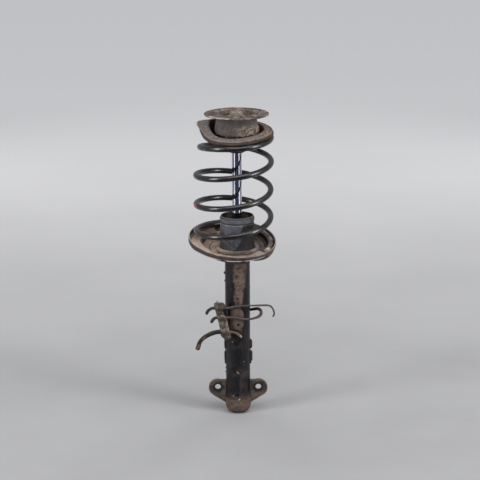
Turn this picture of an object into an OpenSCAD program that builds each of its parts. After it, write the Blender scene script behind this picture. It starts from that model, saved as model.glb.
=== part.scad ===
// Suspension strut assembly: twin-tube damper with coil spring, top mount and knuckle brackets.
// Millimetres, +Z up. The origin is on the tube axis at the flat centre of the base cap.
// -Y is the side that carries the line bracket, +Y the side of the upper knuckle lugs.

/* [Damper tube] */
// Outer diameter of the strut tube
tube_d = 55; // [52:1:56]
// Wall thickness of the strut tube
tube_wall = 3; // [2.5:0.25:3.5]
// Height of the tube's top edge
tube_top = 440; // [435:1:445]
// Outer diameter of the base cap
cap_d = 58.8; // [58:0.2:60]

/* [Piston rod] */
// Diameter of the piston rod
rod_d = 22; // [20:1:22]
// Radial running clearance of rod and piston
run_gap = 0.05; // [0.03:0.01:0.08]
// Diameter of the threaded rod end
stud_d = 14; // [12:1:14]

/* [Knuckle brackets] */
// Distance between the two lower knuckle holes
ear_pitch = 94; // [92:1:96]
// Diameter of the lower knuckle holes
ear_hole_d = 14; // [12:1:15]
// Height of the lower knuckle holes
ear_z = 59.4; // [57:0.2:61]
// Thickness of the lower ear plate
ear_t = 7; // [6:0.5:9]
// Diameter of the upper knuckle cross hole
lug_hole_d = 12.5; // [10:0.5:14]

/* [Springs seats] */
// Outer diameter of the lower spring seat
perch_d = 200; // [196:1:202]
// Forward tilt of the lower spring seat in degrees
perch_tilt = 12; // [11:0.5:12]
// Outer radius of the upper spring seat flange
plate_r = 82; // [80:1:83]

/* [Coil spring] */
// Wire diameter of the coil spring
wire_d = 13; // [12:0.5:13]
// Mean radius of the coil spring
coil_r = 84.5; // [84:0.5:85]

/* [Top mount] */
// Diameter of the top mount disc
disc_d = 146; // [142:1:150]
// Bolt circle of the top mount
disc_pcd = 102; // [100:1:106]
// Diameter of the top mount bolt holes
disc_hole_d = 8; // [7:0.5:9]

/* [Hidden] */
$fn = 96;
tr = tube_d / 2;
ti = tr - tube_wall;
rr = rod_d / 2;
sr = stud_d / 2;
barrel_r = 15;                       // bore radius of the pressure tube
perch_c = [-11, 0, 415.8];           // centre of the lower seat's rim
perch_rot = [perch_tilt, 4, 0];

// ---- shared functions ----
function smooth(t) = let (c = min(1, max(0, t))) c * c * (3 - 2 * c);
function mix(a, b, t) = a + (b - a) * t;
function unit(v) = v / norm(v);
// Catmull-Rom point between P[i] and P[i+1]
function cr(P, i, t) = let (n = len(P), a = P[max(0, i - 1)], b = P[i], c = P[min(n - 1, i + 1)], d = P[min(n - 1, i + 2)])
    0.5 * (2 * b + (c - a) * t + (2 * a - 5 * b + 4 * c - d) * t * t + (3 * b - a - 3 * c + d) * t * t * t);
function route(P, m) = [for (i = [0 : len(P) - 2]) for (k = [0 : m - 1]) cr(P, i, k / m), P[len(P) - 1]];
function along(Q, i) = unit(Q[min(len(Q) - 1, i + 1)] - Q[max(0, i - 1)]);
function ring(Q, i, r, n, up) = let (t = along(Q, i), s = unit(cross(t, up)), u = cross(s, t))
    [for (j = [0 : n - 1]) let (a = 360 * (j + 0.5) / n) Q[i] + r * (cos(a) * s + sin(a) * u)];

// round bar swept along the points Q
module bar(Q, r, n = 12, up = [0, 1, 0]) {
    N = len(Q);
    pts = [for (i = [0 : N - 1]) each ring(Q, i, r, n, up)];
    faces = [
        [for (j = [n - 1 : -1 : 0]) j],
        [for (j = [0 : n - 1]) (N - 1) * n + j],
        for (i = [0 : N - 2]) for (j = [0 : n - 1]) each let (k = (j + 1) % n)
            [[i * n + j, i * n + k, (i + 1) * n + k], [i * n + j, (i + 1) * n + k, (i + 1) * n + j]]];
    polyhedron(points = pts, faces = faces, convexity = 8);
}

// hollow hose swept along the points Q
module hose(Q, ri, ro, n = 12, up = [0, 1, 0]) {
    N = len(Q);
    m = 2 * n;
    pts = [for (i = [0 : N - 1]) each concat(ring(Q, i, ro, n, up), ring(Q, i, ri, n, up))];
    faces = [
        for (j = [0 : n - 1]) each let (k = (j + 1) % n)
            [[k, j, n + j], [k, n + j, n + k],
             [(N - 1) * m + j, (N - 1) * m + k, (N - 1) * m + n + j], [(N - 1) * m + k, (N - 1) * m + n + k, (N - 1) * m + n + j]],
        for (i = [0 : N - 2]) for (j = [0 : n - 1]) each let (k = (j + 1) % n, a = i * m, b = (i + 1) * m)
            [[a + j, a + k, b + k], [a + j, b + k, b + j],
             [a + n + k, a + n + j, b + n + k], [b + n + k, a + n + j, b + n + j]]];
    polyhedron(points = pts, faces = faces, convexity = 8);
}

// closed band: one (r, z) section for each angle
module band(S) {
    N = len(S);
    k = len(S[0]);
    pts = [for (i = [0 : N - 1]) let (a = 360 * i / N) for (p = S[i]) [p[0] * cos(a), p[0] * sin(a), p[1]]];
    faces = [for (i = [0 : N - 1]) for (j = [0 : k - 1]) each let (i2 = (i + 1) % N, j2 = (j + 1) % k)
        [[i * k + j, i * k + j2, i2 * k + j2], [i * k + j, i2 * k + j2, i2 * k + j]]];
    polyhedron(points = pts, faces = faces, convexity = 8);
}

// ---- spring seats and coil rules ----
// underside height of the upper seat flange at angle a, measured from 195 to 555 degrees
function flange_z(a) = lookup(a, [[195, 651.5], [230, 652], [270, 653], [360, 664], [450, 675], [504, 679], [525, 681], [543, 667], [555, 651.5]]);
// the plate itself runs down gently from the raised ear to the low part of the seat
function plate_z(a) = lookup(a, [[195, 669], [208, 661.5], [222, 656], [236, 653.2], [250, 652.5], [270, 653], [360, 664], [450, 675], [504, 679], [525, 681], [543, 675], [555, 669]]);
function wrap(a) = a < 195 ? a + 360 : a;
function flange_r(a) = plate_r + 9.5 * smooth(1 - abs(wrap(a) - 528) / 30);
// height of the tilted lower seat plane, h above the rim plane
function seat_z(x, y, h) = perch_c[2] + (h - 0.0682 * (x - perch_c[0]) + 0.2079 * y) / 0.9758;
// coil centre line, u in turns from the left side
function coil_rad(u) = mix(coil_r, coil_r - 5, smooth((u - 2.4) / 0.8));
function coil_cx(u) = mix(-8, -2, smooth((u - 2.2) / 1.0));
function coil_lean(u) = lookup(u, [[-0.3, 9], [0.25, 8], [1, 5], [2, 4], [3, 1], [3.4, 0]]);
function coil_base(u) = lookup(u, [[-0.5, 405.5], [0, 437], [0.5, 467.5], [1, 497], [1.5, 530.5], [2, 564.5], [2.5, 594.5], [3, 628.3], [3.5, 660]]);
function coil_pt(u) = let (a = 180 + 360 * u, R = coil_rad(u), x = coil_cx(u) + R * cos(a), y = R * sin(a),
    free = coil_base(u) + R * sin(a) * tan(coil_lean(u)),
    low = seat_z(x, y, -6.2),
    top = flange_z(max(195, 180 + 360 * (u - 3))) - 14.2)
    [x, y, mix(mix(low, free, smooth((u + 0.30) / 0.35)), top, smooth((u - 2.95) / 0.35))];
coil_u0 = -0.58;
coil_u1 = 3.9;

// ---- guide wire routes ----
route_a = [[-71, -34, 247], [-68, -35, 254], [-62, -36, 259], [-55, -36, 261], [-40, -36, 261], [-26, -36, 261], [-8, -34.5, 263.5],
    [14, -33, 265], [50, -33, 266], [70, -33, 266], [78, -32, 261], [83, -32, 251], [83, -31, 243], [80, -30, 238]];
route_b = [[-60, -34, 227], [-56, -35.5, 234], [-50, -36, 238], [-37, -36, 238.5], [-24, -36, 238.5], [-8, -35, 238],
    [19, -33, 233], [33, -32, 234], [45, -28, 236.5], [52, -19, 239], [54, -8, 242], [52, 0, 245], [46, 7, 246], [37, 14, 243], [29, 20, 240], [21, 26, 238]];
route_c = [[-93, -30, 160], [-91, -31, 167], [-86, -32, 180], [-76, -34, 191], [-62, -35, 199], [-48, -36, 203.5], [-34, -36, 204], [-20, -36, 204], [-10, -36, 203], [0, -37, 199], [8, -38, 192]];

// ================= damper body =================
module strut_tube() color("#1d1c1e") difference() {
    translate([0, 0, 12]) cylinder(r = tr, h = tube_top - 12);
    translate([0, 0, 11]) cylinder(r = ti, h = tube_top - 10);
    translate([0, -tr + 1.5, 46]) rotate([90, 0, 0]) cylinder(r = 3.5, h = 6, $fn = 48);
}

module base_cap() color("#4a4037") rotate_extrude()
    polygon([[0, 0], [13, 0], [19, 1.2], [24, 4.5], [cap_d / 2 - 1.8, 9.5], [cap_d / 2, 16], [cap_d / 2, 33], [tr + 0.7, 34.5],
        [tr, 34.5], [tr, 12], [ti, 12], [21.5, 7.6], [16, 4.2], [0, 3]]);

module ear_outline(d = 0) {
    for (s = [-1, 1]) translate([s * (ear_pitch / 2 + 1), ear_z - 1.9]) circle(r = 20.5 - d);
    polygon([[-ear_pitch / 2 - 1, 76.8 - d], [ear_pitch / 2 + 1, 76.8 - d], [ear_pitch / 2 + 12 - d * 0.54, 40.2 + d * 0.84],
        [27, 20 + d * 1.2], [-27, 20 + d * 1.2], [-ear_pitch / 2 - 12 + d * 0.54, 40.2 + d * 0.84]]);
}

module knuckle_bracket() color("#5a4b3c") difference() {
    translate([0, ear_t / 2, 0]) rotate([90, 0, 0]) linear_extrude(ear_t) ear_outline();
    // pressed fields on both faces leave a raised rim
    for (s = [0, 1]) mirror([0, s, 0]) translate([0, -ear_t / 2 + 1.2, 0]) rotate([90, 0, 0]) linear_extrude(3)
        difference() {
            ear_outline(3.2);
            for (x = [-1, 1]) translate([x * ear_pitch / 2, ear_z]) circle(r = 12.2);
        }
    for (x = [-1, 1]) translate([x * ear_pitch / 2, 10, ear_z]) rotate([90, 0, 0]) cylinder(d = ear_hole_d, h = 20);
    translate([0, 0, 34.4]) cylinder(r = tr, h = 60);
    translate([0, 0, 10]) cylinder(r = cap_d / 2, h = 24.5);
}

module upper_knuckle_bracket() color("#3a332d") difference() {
    union() {
        rotate([0, 0, -8]) rotate_extrude(angle = 196) translate([tr, 117]) square([3.5, 56.5]);
        for (s = [-1, 1]) difference() {
            translate([s > 0 ? 13 : -18, 0, 126]) cube([5, 62, 39]);
            translate([-30, 62, 165]) rotate([45, 0, 0]) cube([60, 16, 16], center = true);
            translate([-30, 62, 126]) rotate([45, 0, 0]) cube([60, 16, 16], center = true);
        }
    }
    translate([0, 0, 100]) cylinder(r = tr, h = 100);
    translate([0, 50, 144]) rotate([0, 90, 0]) cylinder(d = lug_hole_d, h = 60, center = true);
    // notches on both sides
    for (s = [-1, 1]) translate([s * 30, -4, 149]) cube([16, 28, 9], center = true);
}

// ================= lower seat =================
function seat_section(d) = [[30, -26], [70, -26], [74, -d - 2.8], [94, -d - 2.8], [97.4, -d - 1], [98.2, -7.6], [perch_d / 2, -7.4],
    [perch_d / 2, -2.5], [99.6, -0.8], [98.4, 0], [97.2, -1.6], [96.6, -d + 4], [92.5, -d], [72, -d], [68, -23.2], [30, -23.2]];
// ledge depth below the rim: low under the coil end, rising to a shelf towards the front
function seat_d(a) = lookup(a < -32 ? a + 360 : a, [[-32, 6], [-28, 17], [125, 17], [205, 6], [328, 6]]);

module lower_spring_perch() color("#6e5f4f") difference() {
    union() {
        translate(perch_c) rotate(perch_rot) {
            N = 90;
            band([for (i = [0 : N - 1]) seat_section(seat_d(i * 4 > 180 ? i * 4 - 360 : i * 4))]);
        }
        rotate_extrude() polygon([[tr - 1, 364], [tr + 3, 364], [tr + 5, 372], [40, 378], [47, 379], [50, 383], [50, 393], [46, 397], [tr - 1, 397]]);
    }
    translate([0, 0, 350]) cylinder(r = tr, h = 100);
    translate([0, 0, 397]) cylinder(r = 41.5, h = 30);
}

module lower_spring_pad() color("#2b2926") translate(perch_c) rotate(perch_rot)
    rotate([0, 0, -25]) rotate_extrude(angle = 148) polygon([[75, -16.9], [75, -14.2], [78, -13], [90, -13], [91.8, -14.2], [91.8, -16.9]]);

module dust_sleeve() color("#3f4045") rotate_extrude()
    polygon([[36.8, 397], [40.3, 397], [40.3, 401.5], [39, 404], [39, 454.8], [38, 455.8], [38, 457.6], [39.6, 459], [39.6, 466], [38.2, 468.2],
        [38.2, 471.7], [34, 471.7], [34, 469.4], [36.8, 468.6]]);

module tube_end_cap() color("#343434") rotate_extrude()
    polygon([[12, tube_top + 0.1], [tr, tube_top + 0.1], [tr, 425], [tr + 2, 425], [tr + 2, tube_top + 4.5], [tr + 0.6, tube_top + 6], [12, tube_top + 6]]);

// ================= line bracket and wires =================
module strap_block() translate([-35, -36, 230.8]) rotate([0, -15.2, 0])
    linear_extrude(84, center = true) {
        square([14.6, 9.4], center = true);
        for (s = [-1, 1]) translate([s * 7.3, 0]) circle(d = 9.4, $fn = 48);
    }
module line_bracket() color("#5b4d3f") difference() {
    union() {
        // saddle pad on the tube
        intersection() {
            rotate([0, 0, 180]) rotate_extrude(angle = 118) translate([tr, 206]) square([2.6, 52]);
            translate([-40, -40, 206]) cube([53, 60, 52]);
        }
        strap_block();
        // web between pad and strap
        translate([-30, -33, 214]) cube([9, 14, 38]);
    }
    translate([0, 0, 190]) cylinder(r = tr, h = 90);
    translate([-60, -36, 261]) rotate([0, 90, 0]) cylinder(r = 2.7, h = 60, $fn = 48);
    translate([-60, -36, 238.5]) rotate([0, 90, 0]) cylinder(r = 3.3, h = 60, $fn = 48);
    translate([-60, -36, 204]) rotate([0, 90, 0]) cylinder(r = 3.3, h = 60, $fn = 48);
    translate([2, -20, 219]) rotate([90, 0, 0]) cylinder(r = 3, h = 20, $fn = 48);
}
module upper_guide_wire() color("#6b5a4b") bar(route(route_a, 3), 2.15);
module loop_guide_wire() color("#5d5148") bar(route(route_b, 3), 2.6, 12, [0, 0, 1]);
module lower_guide_arm() color("#4c443d") bar(route(route_c, 4), 2.8);
module arm_rubber_sleeve() color("#1b1a19") hose([for (i = [0 : 21]) route(route_c, 4)[i]], 2.9, 4.95);

// ================= damper internals =================
module pressure_tube() color("#9a9a9c") rotate_extrude() translate([barrel_r, 33]) square([1.5, 382]);
module base_valve() color("#b08d4a") rotate_extrude()
    polygon([[0, 4.3], [8, 4.3], [10, 7], [10, 20], [16.5, 26], [16.5, 33], [0, 33]]);
module rod_guide() color("#8d8d90") rotate_extrude()
    polygon([[rr + run_gap, 415], [ti - 0.05, 415], [ti - 0.05, 436], [20.5, 436], [rr + run_gap, 436]]);
module rod_seal() color("#232323") rotate_extrude()
    polygon([[rr + run_gap, 436], [20, 436], [20, 440], [14, 440], [rr + run_gap, 439]]);

// ================= coil spring =================
module coil_spring() color("#2a2a2c") {
    n = 100;
    bar([for (i = [0 : n]) coil_pt(mix(coil_u0, coil_u1, i / n))], wire_d / 2, 12, [0, 0, 1]);
}

// ================= upper seat =================
module upper_spring_plate() color("#5c5349") {
    N = 96;
    union() {
        band([for (i = [0 : N - 1]) let (a = wrap(360 * i / N), f = plate_z(a), R = flange_r(a))
            [[60.5, 645], [63.5, 646.5], [63.5, f], [R - 1, f], [R, f + 1.2], [R - 0.6, f + 3], [60.5, f + 3]]]);
        rotate_extrude() translate([26, 645]) square([36, 3]);
    }
}
module upper_spring_pad() color("#8a735c") {
    N = 96;
    band([for (i = [0 : N - 1]) let (a = wrap(360 * i / N), f = plate_z(a), e = smooth((a - 195) / 12))
        [[65, f - mix(4, 7, e)], [83, f - mix(4, 7, e)], [84, f - 1.5], [83, f - 0.05], [65, f - 0.05]]]);
}
module race_section(z0, z1, zg) difference() {
    translate([30, z0]) square([16, z1 - z0]);
    translate([38, zg]) circle(r = 3.1, $fn = 48);
}
module bearing_lower_race() color("#8f8f93") rotate_extrude() race_section(648, 655.6, 657.3);
module bearing_upper_race() color("#8f8f93") rotate_extrude() race_section(659, 667, 657.3);
module bearing_cage() color("#a8874a") difference() {
    translate([0, 0, 656.2]) difference() {
        cylinder(r = 43, h = 2.2);
        translate([0, 0, -1]) cylinder(r = 33, h = 5);
    }
    for (i = [0 : 13]) rotate([0, 0, i * 360 / 14]) translate([38, 0, 650]) cylinder(r = 3.1, h = 14, $fn = 32);
}
module bearing_balls() color("silver") for (i = [0 : 13]) rotate([0, 0, i * 360 / 14]) translate([38, 0, 657.3]) sphere(r = 3, $fn = 32);

// ================= rod and top mount =================
module piston_rod() color("#b9bcc2") difference() {
    union() {
        translate([0, 0, 255]) cylinder(r = 6, h = 31);
        translate([0, 0, 285]) cylinder(r = rr, h = 377);
        translate([0, 0, 661]) cylinder(r = sr, h = 50);
    }
    translate([0, 0, 705]) cylinder(r = 3.5, h = 10, $fn = 6);
}
module piston() color("#77787c") rotate_extrude()
    polygon([[6.05, 265], [barrel_r - 0.5, 265], [barrel_r - 0.5, 269], [barrel_r - 1.5, 269], [barrel_r - 1.5, 276], [barrel_r - 0.5, 276], [barrel_r - 0.5, 281], [6.05, 281]]);
module piston_band() color("#2d2d2d") rotate_extrude()
    translate([barrel_r - 1.5, 269]) square([1.5 - run_gap, 7]);
module piston_shims() color("#a9a9ad") rotate_extrude() {
    translate([6.05, 281]) square([6.5, 4]);
    translate([6.05, 262]) square([6.5, 3]);
}
module piston_nut() color("#8c8c90") difference() {
    translate([0, 0, 255.5]) cylinder(r = 10, h = 6.5, $fn = 6);
    translate([0, 0, 250]) cylinder(r = 6.05, h = 20, $fn = 48);
}
module rebound_stop() color("#2a2a2a") rotate_extrude() translate([rr + 0.05, 396]) square([barrel_r - rr - 1, 8]);
module bump_stop() color("#2f2f2d") rotate_extrude()
    polygon([[rr + 0.1, 617], [17, 617], [20, 620], [20.5, 627], [17, 631], [17, 633], [22, 637], [23, 645], [21, 650], [21, 652], [23, 655], [23, 662], [rr + 0.1, 662]]);
module shoulder_washer() color("#77787a") rotate_extrude() translate([sr + 0.05, 662]) square([17.5, 3]);
module mount_inner_sleeve() color("#7d7d80") rotate_extrude() translate([sr + 0.05, 665]) square([14 - sr - 0.05, 31.5]);
module mount_rubber_hub() color("#4d453d") rotate_extrude()
    polygon([[14, 667], [49, 667], [50, 668.2], [49.6, 671], [47.6, 681], [46.3, 692], [46, 702.5], [41, 702.5], [31, 692.5], [24.6, 692.5], [22, 690], [14, 690]]);
module mount_disc() color("#5f554b") difference() {
    rotate_extrude() polygon([[disc_d / 2 - 0.8, 702.5], [disc_d / 2, 703.3], [disc_d / 2, 705], [disc_d / 2 - 0.8, 705.7], [40, 705.7], [38.5, 705], [28, 695.6], [25, 695.5],
        [25, 692.5], [31, 692.5], [41, 702.5]]);
    for (a = [30, 150, 270]) rotate([0, 0, a]) translate([disc_pcd / 2, 0, 690]) cylinder(d = disc_hole_d, h = 30, $fn = 48);
}
module top_washer() color("#8a7c6c") rotate_extrude() polygon([[sr + 0.05, 696.5], [20.5, 696.5], [21.5, 697.4], [21, 699], [18, 700], [sr + 0.05, 700]]);
module top_nut() color("#7c7268") difference() {
    intersection() {
        translate([0, 0, 700]) cylinder(r = 13.86, h = 9, $fn = 6);
        rotate_extrude() polygon([[0, 700], [13.9, 700], [13.9, 707.4], [11.8, 709], [0, 709]]);
    }
    translate([0, 0, 690]) cylinder(r = sr + 0.05, h = 30, $fn = 48);
}

strut_tube();
base_cap();
knuckle_bracket();
upper_knuckle_bracket();
lower_spring_perch();
lower_spring_pad();
dust_sleeve();
tube_end_cap();
line_bracket();
upper_guide_wire();
loop_guide_wire();
lower_guide_arm();
arm_rubber_sleeve();
pressure_tube();
base_valve();
rod_guide();
rod_seal();
coil_spring();
upper_spring_plate();
upper_spring_pad();
bearing_lower_race();
bearing_cage();
bearing_balls();
piston_rod();
piston();
piston_band();
piston_shims();
piston_nut();
rebound_stop();
bump_stop();
shoulder_washer();
bearing_upper_race();
mount_inner_sleeve();
mount_rubber_hub();
mount_disc();
top_washer();
top_nut();
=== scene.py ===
import bpy, bmesh, math
import numpy as np
from mathutils import Vector, Matrix, noise


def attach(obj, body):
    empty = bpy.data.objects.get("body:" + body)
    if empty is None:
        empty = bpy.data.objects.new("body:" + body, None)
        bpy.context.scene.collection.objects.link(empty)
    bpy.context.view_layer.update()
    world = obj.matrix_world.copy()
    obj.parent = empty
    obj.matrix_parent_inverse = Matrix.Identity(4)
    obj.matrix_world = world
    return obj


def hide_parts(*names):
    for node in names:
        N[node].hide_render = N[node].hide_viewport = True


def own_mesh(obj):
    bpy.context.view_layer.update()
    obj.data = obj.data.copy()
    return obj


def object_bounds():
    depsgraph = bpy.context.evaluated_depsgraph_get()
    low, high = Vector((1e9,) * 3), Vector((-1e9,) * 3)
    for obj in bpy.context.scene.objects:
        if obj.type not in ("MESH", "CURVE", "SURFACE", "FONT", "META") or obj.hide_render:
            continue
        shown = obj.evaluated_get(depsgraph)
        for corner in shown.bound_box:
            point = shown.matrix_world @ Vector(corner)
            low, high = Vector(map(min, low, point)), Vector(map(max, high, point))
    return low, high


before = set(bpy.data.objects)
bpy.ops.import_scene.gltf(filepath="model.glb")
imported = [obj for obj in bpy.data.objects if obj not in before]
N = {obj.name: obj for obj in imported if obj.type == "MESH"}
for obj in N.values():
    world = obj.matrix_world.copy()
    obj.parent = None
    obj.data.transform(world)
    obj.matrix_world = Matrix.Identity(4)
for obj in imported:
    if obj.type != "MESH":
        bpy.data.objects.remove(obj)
cad_lo, cad_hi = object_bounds()
cad_lo, cad_hi = list(cad_lo), list(cad_hi)
scene = bpy.context.scene
scene.view_settings.view_transform = "Standard"
scene.view_settings.look = "None"
MM = 0.001
pi = math.pi

# ------------------------------------------------------------------ colours
def lin(h, k=1.0):
    h = h.lstrip("#")
    out = []
    r, g, b = (int(h[i:i + 2], 16) / 255 for i in (0, 2, 4))
    if r > g > b and r - b < 0.30:          # old dirt is greyer than it first looks
        r, b = r - 0.10 * (r - g), b + 0.38 * (g - b)
    for c in (r, g, b):
        out.append((c / 12.92 if c <= 0.04045 else ((c + 0.055) / 1.055) ** 2.4) * k)
    return tuple(out) + (1.0,)

# ------------------------------------------------------------------ node helper
class Mat:
    def __init__(self, name):
        self.m = bpy.data.materials.new(name)
        self.m.use_nodes = True
        self.t = self.m.node_tree
        self.t.nodes.clear()
        self.out = self.t.nodes.new("ShaderNodeOutputMaterial")
        self.b = self.t.nodes.new("ShaderNodeBsdfPrincipled")
        self.t.links.new(self.b.outputs[0], self.out.inputs[0])
        self.co = self.t.nodes.new("ShaderNodeTexCoord").outputs["Object"]
        self._xyz = None
        self._nrm = None

    def link(self, a, b):
        self.t.links.new(a, b)

    def put(self, sock, v):
        if isinstance(v, bpy.types.NodeSocket):
            self.link(v, sock)
        elif v is not None:
            sock.default_value = v

    def noise(self, scale, detail=4.0, rough=0.55, dist=0.0, stretch=None, off=(0, 0, 0)):
        vec = self.co
        if stretch or off != (0, 0, 0):
            mp = self.t.nodes.new("ShaderNodeMapping")
            self.link(self.co, mp.inputs[0])
            mp.inputs["Location"].default_value = off
            mp.inputs["Scale"].default_value = stretch or (1, 1, 1)
            vec = mp.outputs[0]
        n = self.t.nodes.new("ShaderNodeTexNoise")
        self.link(vec, n.inputs["Vector"])
        n.inputs["Scale"].default_value = scale
        n.inputs["Detail"].default_value = detail
        n.inputs["Roughness"].default_value = rough
        n.inputs["Distortion"].default_value = dist
        return n.outputs[0]

    def voro(self, scale, feature="F1", rand=1.0):
        n = self.t.nodes.new("ShaderNodeTexVoronoi")
        n.feature = feature
        self.link(self.co, n.inputs["Vector"])
        n.inputs["Scale"].default_value = scale
        n.inputs["Randomness"].default_value = rand
        return n.outputs["Distance"]

    def ramp(self, fac, a, b, va=0.0, vb=1.0, smooth=True):
        n = self.t.nodes.new("ShaderNodeMapRange")
        n.interpolation_type = "SMOOTHSTEP" if smooth else "LINEAR"
        self.put(n.inputs[0], fac)
        n.inputs[1].default_value = a
        n.inputs[2].default_value = b
        n.inputs[3].default_value = va
        n.inputs[4].default_value = vb
        return n.outputs[0]

    def math(self, op, a, b=None, clamp=False):
        n = self.t.nodes.new("ShaderNodeMath")
        n.operation = op
        n.use_clamp = clamp
        self.put(n.inputs[0], a)
        if b is not None:
            self.put(n.inputs[1], b)
        return n.outputs[0]

    def mul(self, *v):
        o = v[0]
        for x in v[1:]:
            o = self.math("MULTIPLY", o, x)
        return o

    def add(self, a, b, *more):
        for v in more:
            b = self.math("ADD", b, v)
        return self.math("ADD", a, b)

    def mx(self, a, b):
        return self.math("MAXIMUM", a, b)

    def inv(self, a):
        return self.math("SUBTRACT", 1.0, a)

    def mix(self, a, b, fac):
        n = self.t.nodes.new("ShaderNodeMix")
        n.data_type = "RGBA"
        self.put(n.inputs[0], fac)
        self.put(n.inputs[6], a)
        self.put(n.inputs[7], b)
        return n.outputs[2]

    def xyz(self):
        if self._xyz is None:
            n = self.t.nodes.new("ShaderNodeSeparateXYZ")
            self.link(self.co, n.inputs[0])
            self._xyz = n.outputs
        return self._xyz

    def normal(self):
        if self._nrm is None:
            g = self.t.nodes.new("ShaderNodeNewGeometry")
            n = self.t.nodes.new("ShaderNodeSeparateXYZ")
            self.link(g.outputs["Normal"], n.inputs[0])
            self._nrm = n.outputs
            self._geo = g
        return self._nrm

    def point(self):
        self.normal()
        return self._geo.outputs["Pointiness"]

    def near(self, p, r0, r1, wob=None, amp=0.0):
        """1 inside r0 of point p, 0 beyond r1"""
        n = self.t.nodes.new("ShaderNodeVectorMath")
        n.operation = "DISTANCE"
        self.link(self.co, n.inputs[0])
        n.inputs[1].default_value = p
        d = n.outputs["Value"]
        if wob is not None:
            d = self.add(d, self.mul(self.math("SUBTRACT", wob, 0.5), amp))
        return self.ramp(d, r0, r1, 1.0, 0.0)

    def band(self, v, a0, a1, b0, b1):
        """0 below a0, 1 from a1 to b0, 0 above b1"""
        return self.mul(self.ramp(v, a0, a1), self.ramp(v, b0, b1, 1.0, 0.0))

    def radius(self, cx=0.0, cy=0.0, axis="z"):
        x, y, z = self.xyz()[0], self.xyz()[1], self.xyz()[2]
        if axis == "z":
            a, b = self.math("SUBTRACT", x, cx), self.math("SUBTRACT", y, cy)
        else:
            a, b = self.math("SUBTRACT", x, cx), self.math("SUBTRACT", z, cy)
        return self.math("SQRT", self.add(self.mul(a, a), self.mul(b, b)))

    def dark(self, col, f):
        """a colour times a constant"""
        n = self.t.nodes.new("ShaderNodeMix")
        n.data_type = "RGBA"; n.blend_type = "MULTIPLY"
        n.inputs[0].default_value = 1.0
        self.put(n.inputs[6], col)
        n.inputs[7].default_value = (f, f, f, 1)
        n.clamp_result = True
        return n.outputs[2]

    def bump(self, h, strength=0.5, dist=0.001, prev=None):
        n = self.t.nodes.new("ShaderNodeBump")
        n.inputs["Strength"].default_value = strength
        n.inputs["Distance"].default_value = dist
        self.link(h, n.inputs["Height"])
        if prev is not None:
            self.link(prev, n.inputs["Normal"])
        return n.outputs[0]

    def done(self, color, rough, metal=0.0, normal=None, spec=0.5, coat=0.0, coat_rough=0.2, sheen=0.0):
        b = self.b.inputs
        self.put(b["Base Color"], color)
        self.put(b["Roughness"], rough)
        self.put(b["Metallic"], metal)
        b["Specular IOR Level"].default_value = spec
        b["Coat Weight"].default_value = coat
        b["Coat Roughness"].default_value = coat_rough
        if sheen:
            b["Sheen Weight"].default_value = sheen
            b["Sheen Roughness"].default_value = 0.5
        if normal is not None:
            self.link(normal, b["Normal"])
        return self.m


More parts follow.
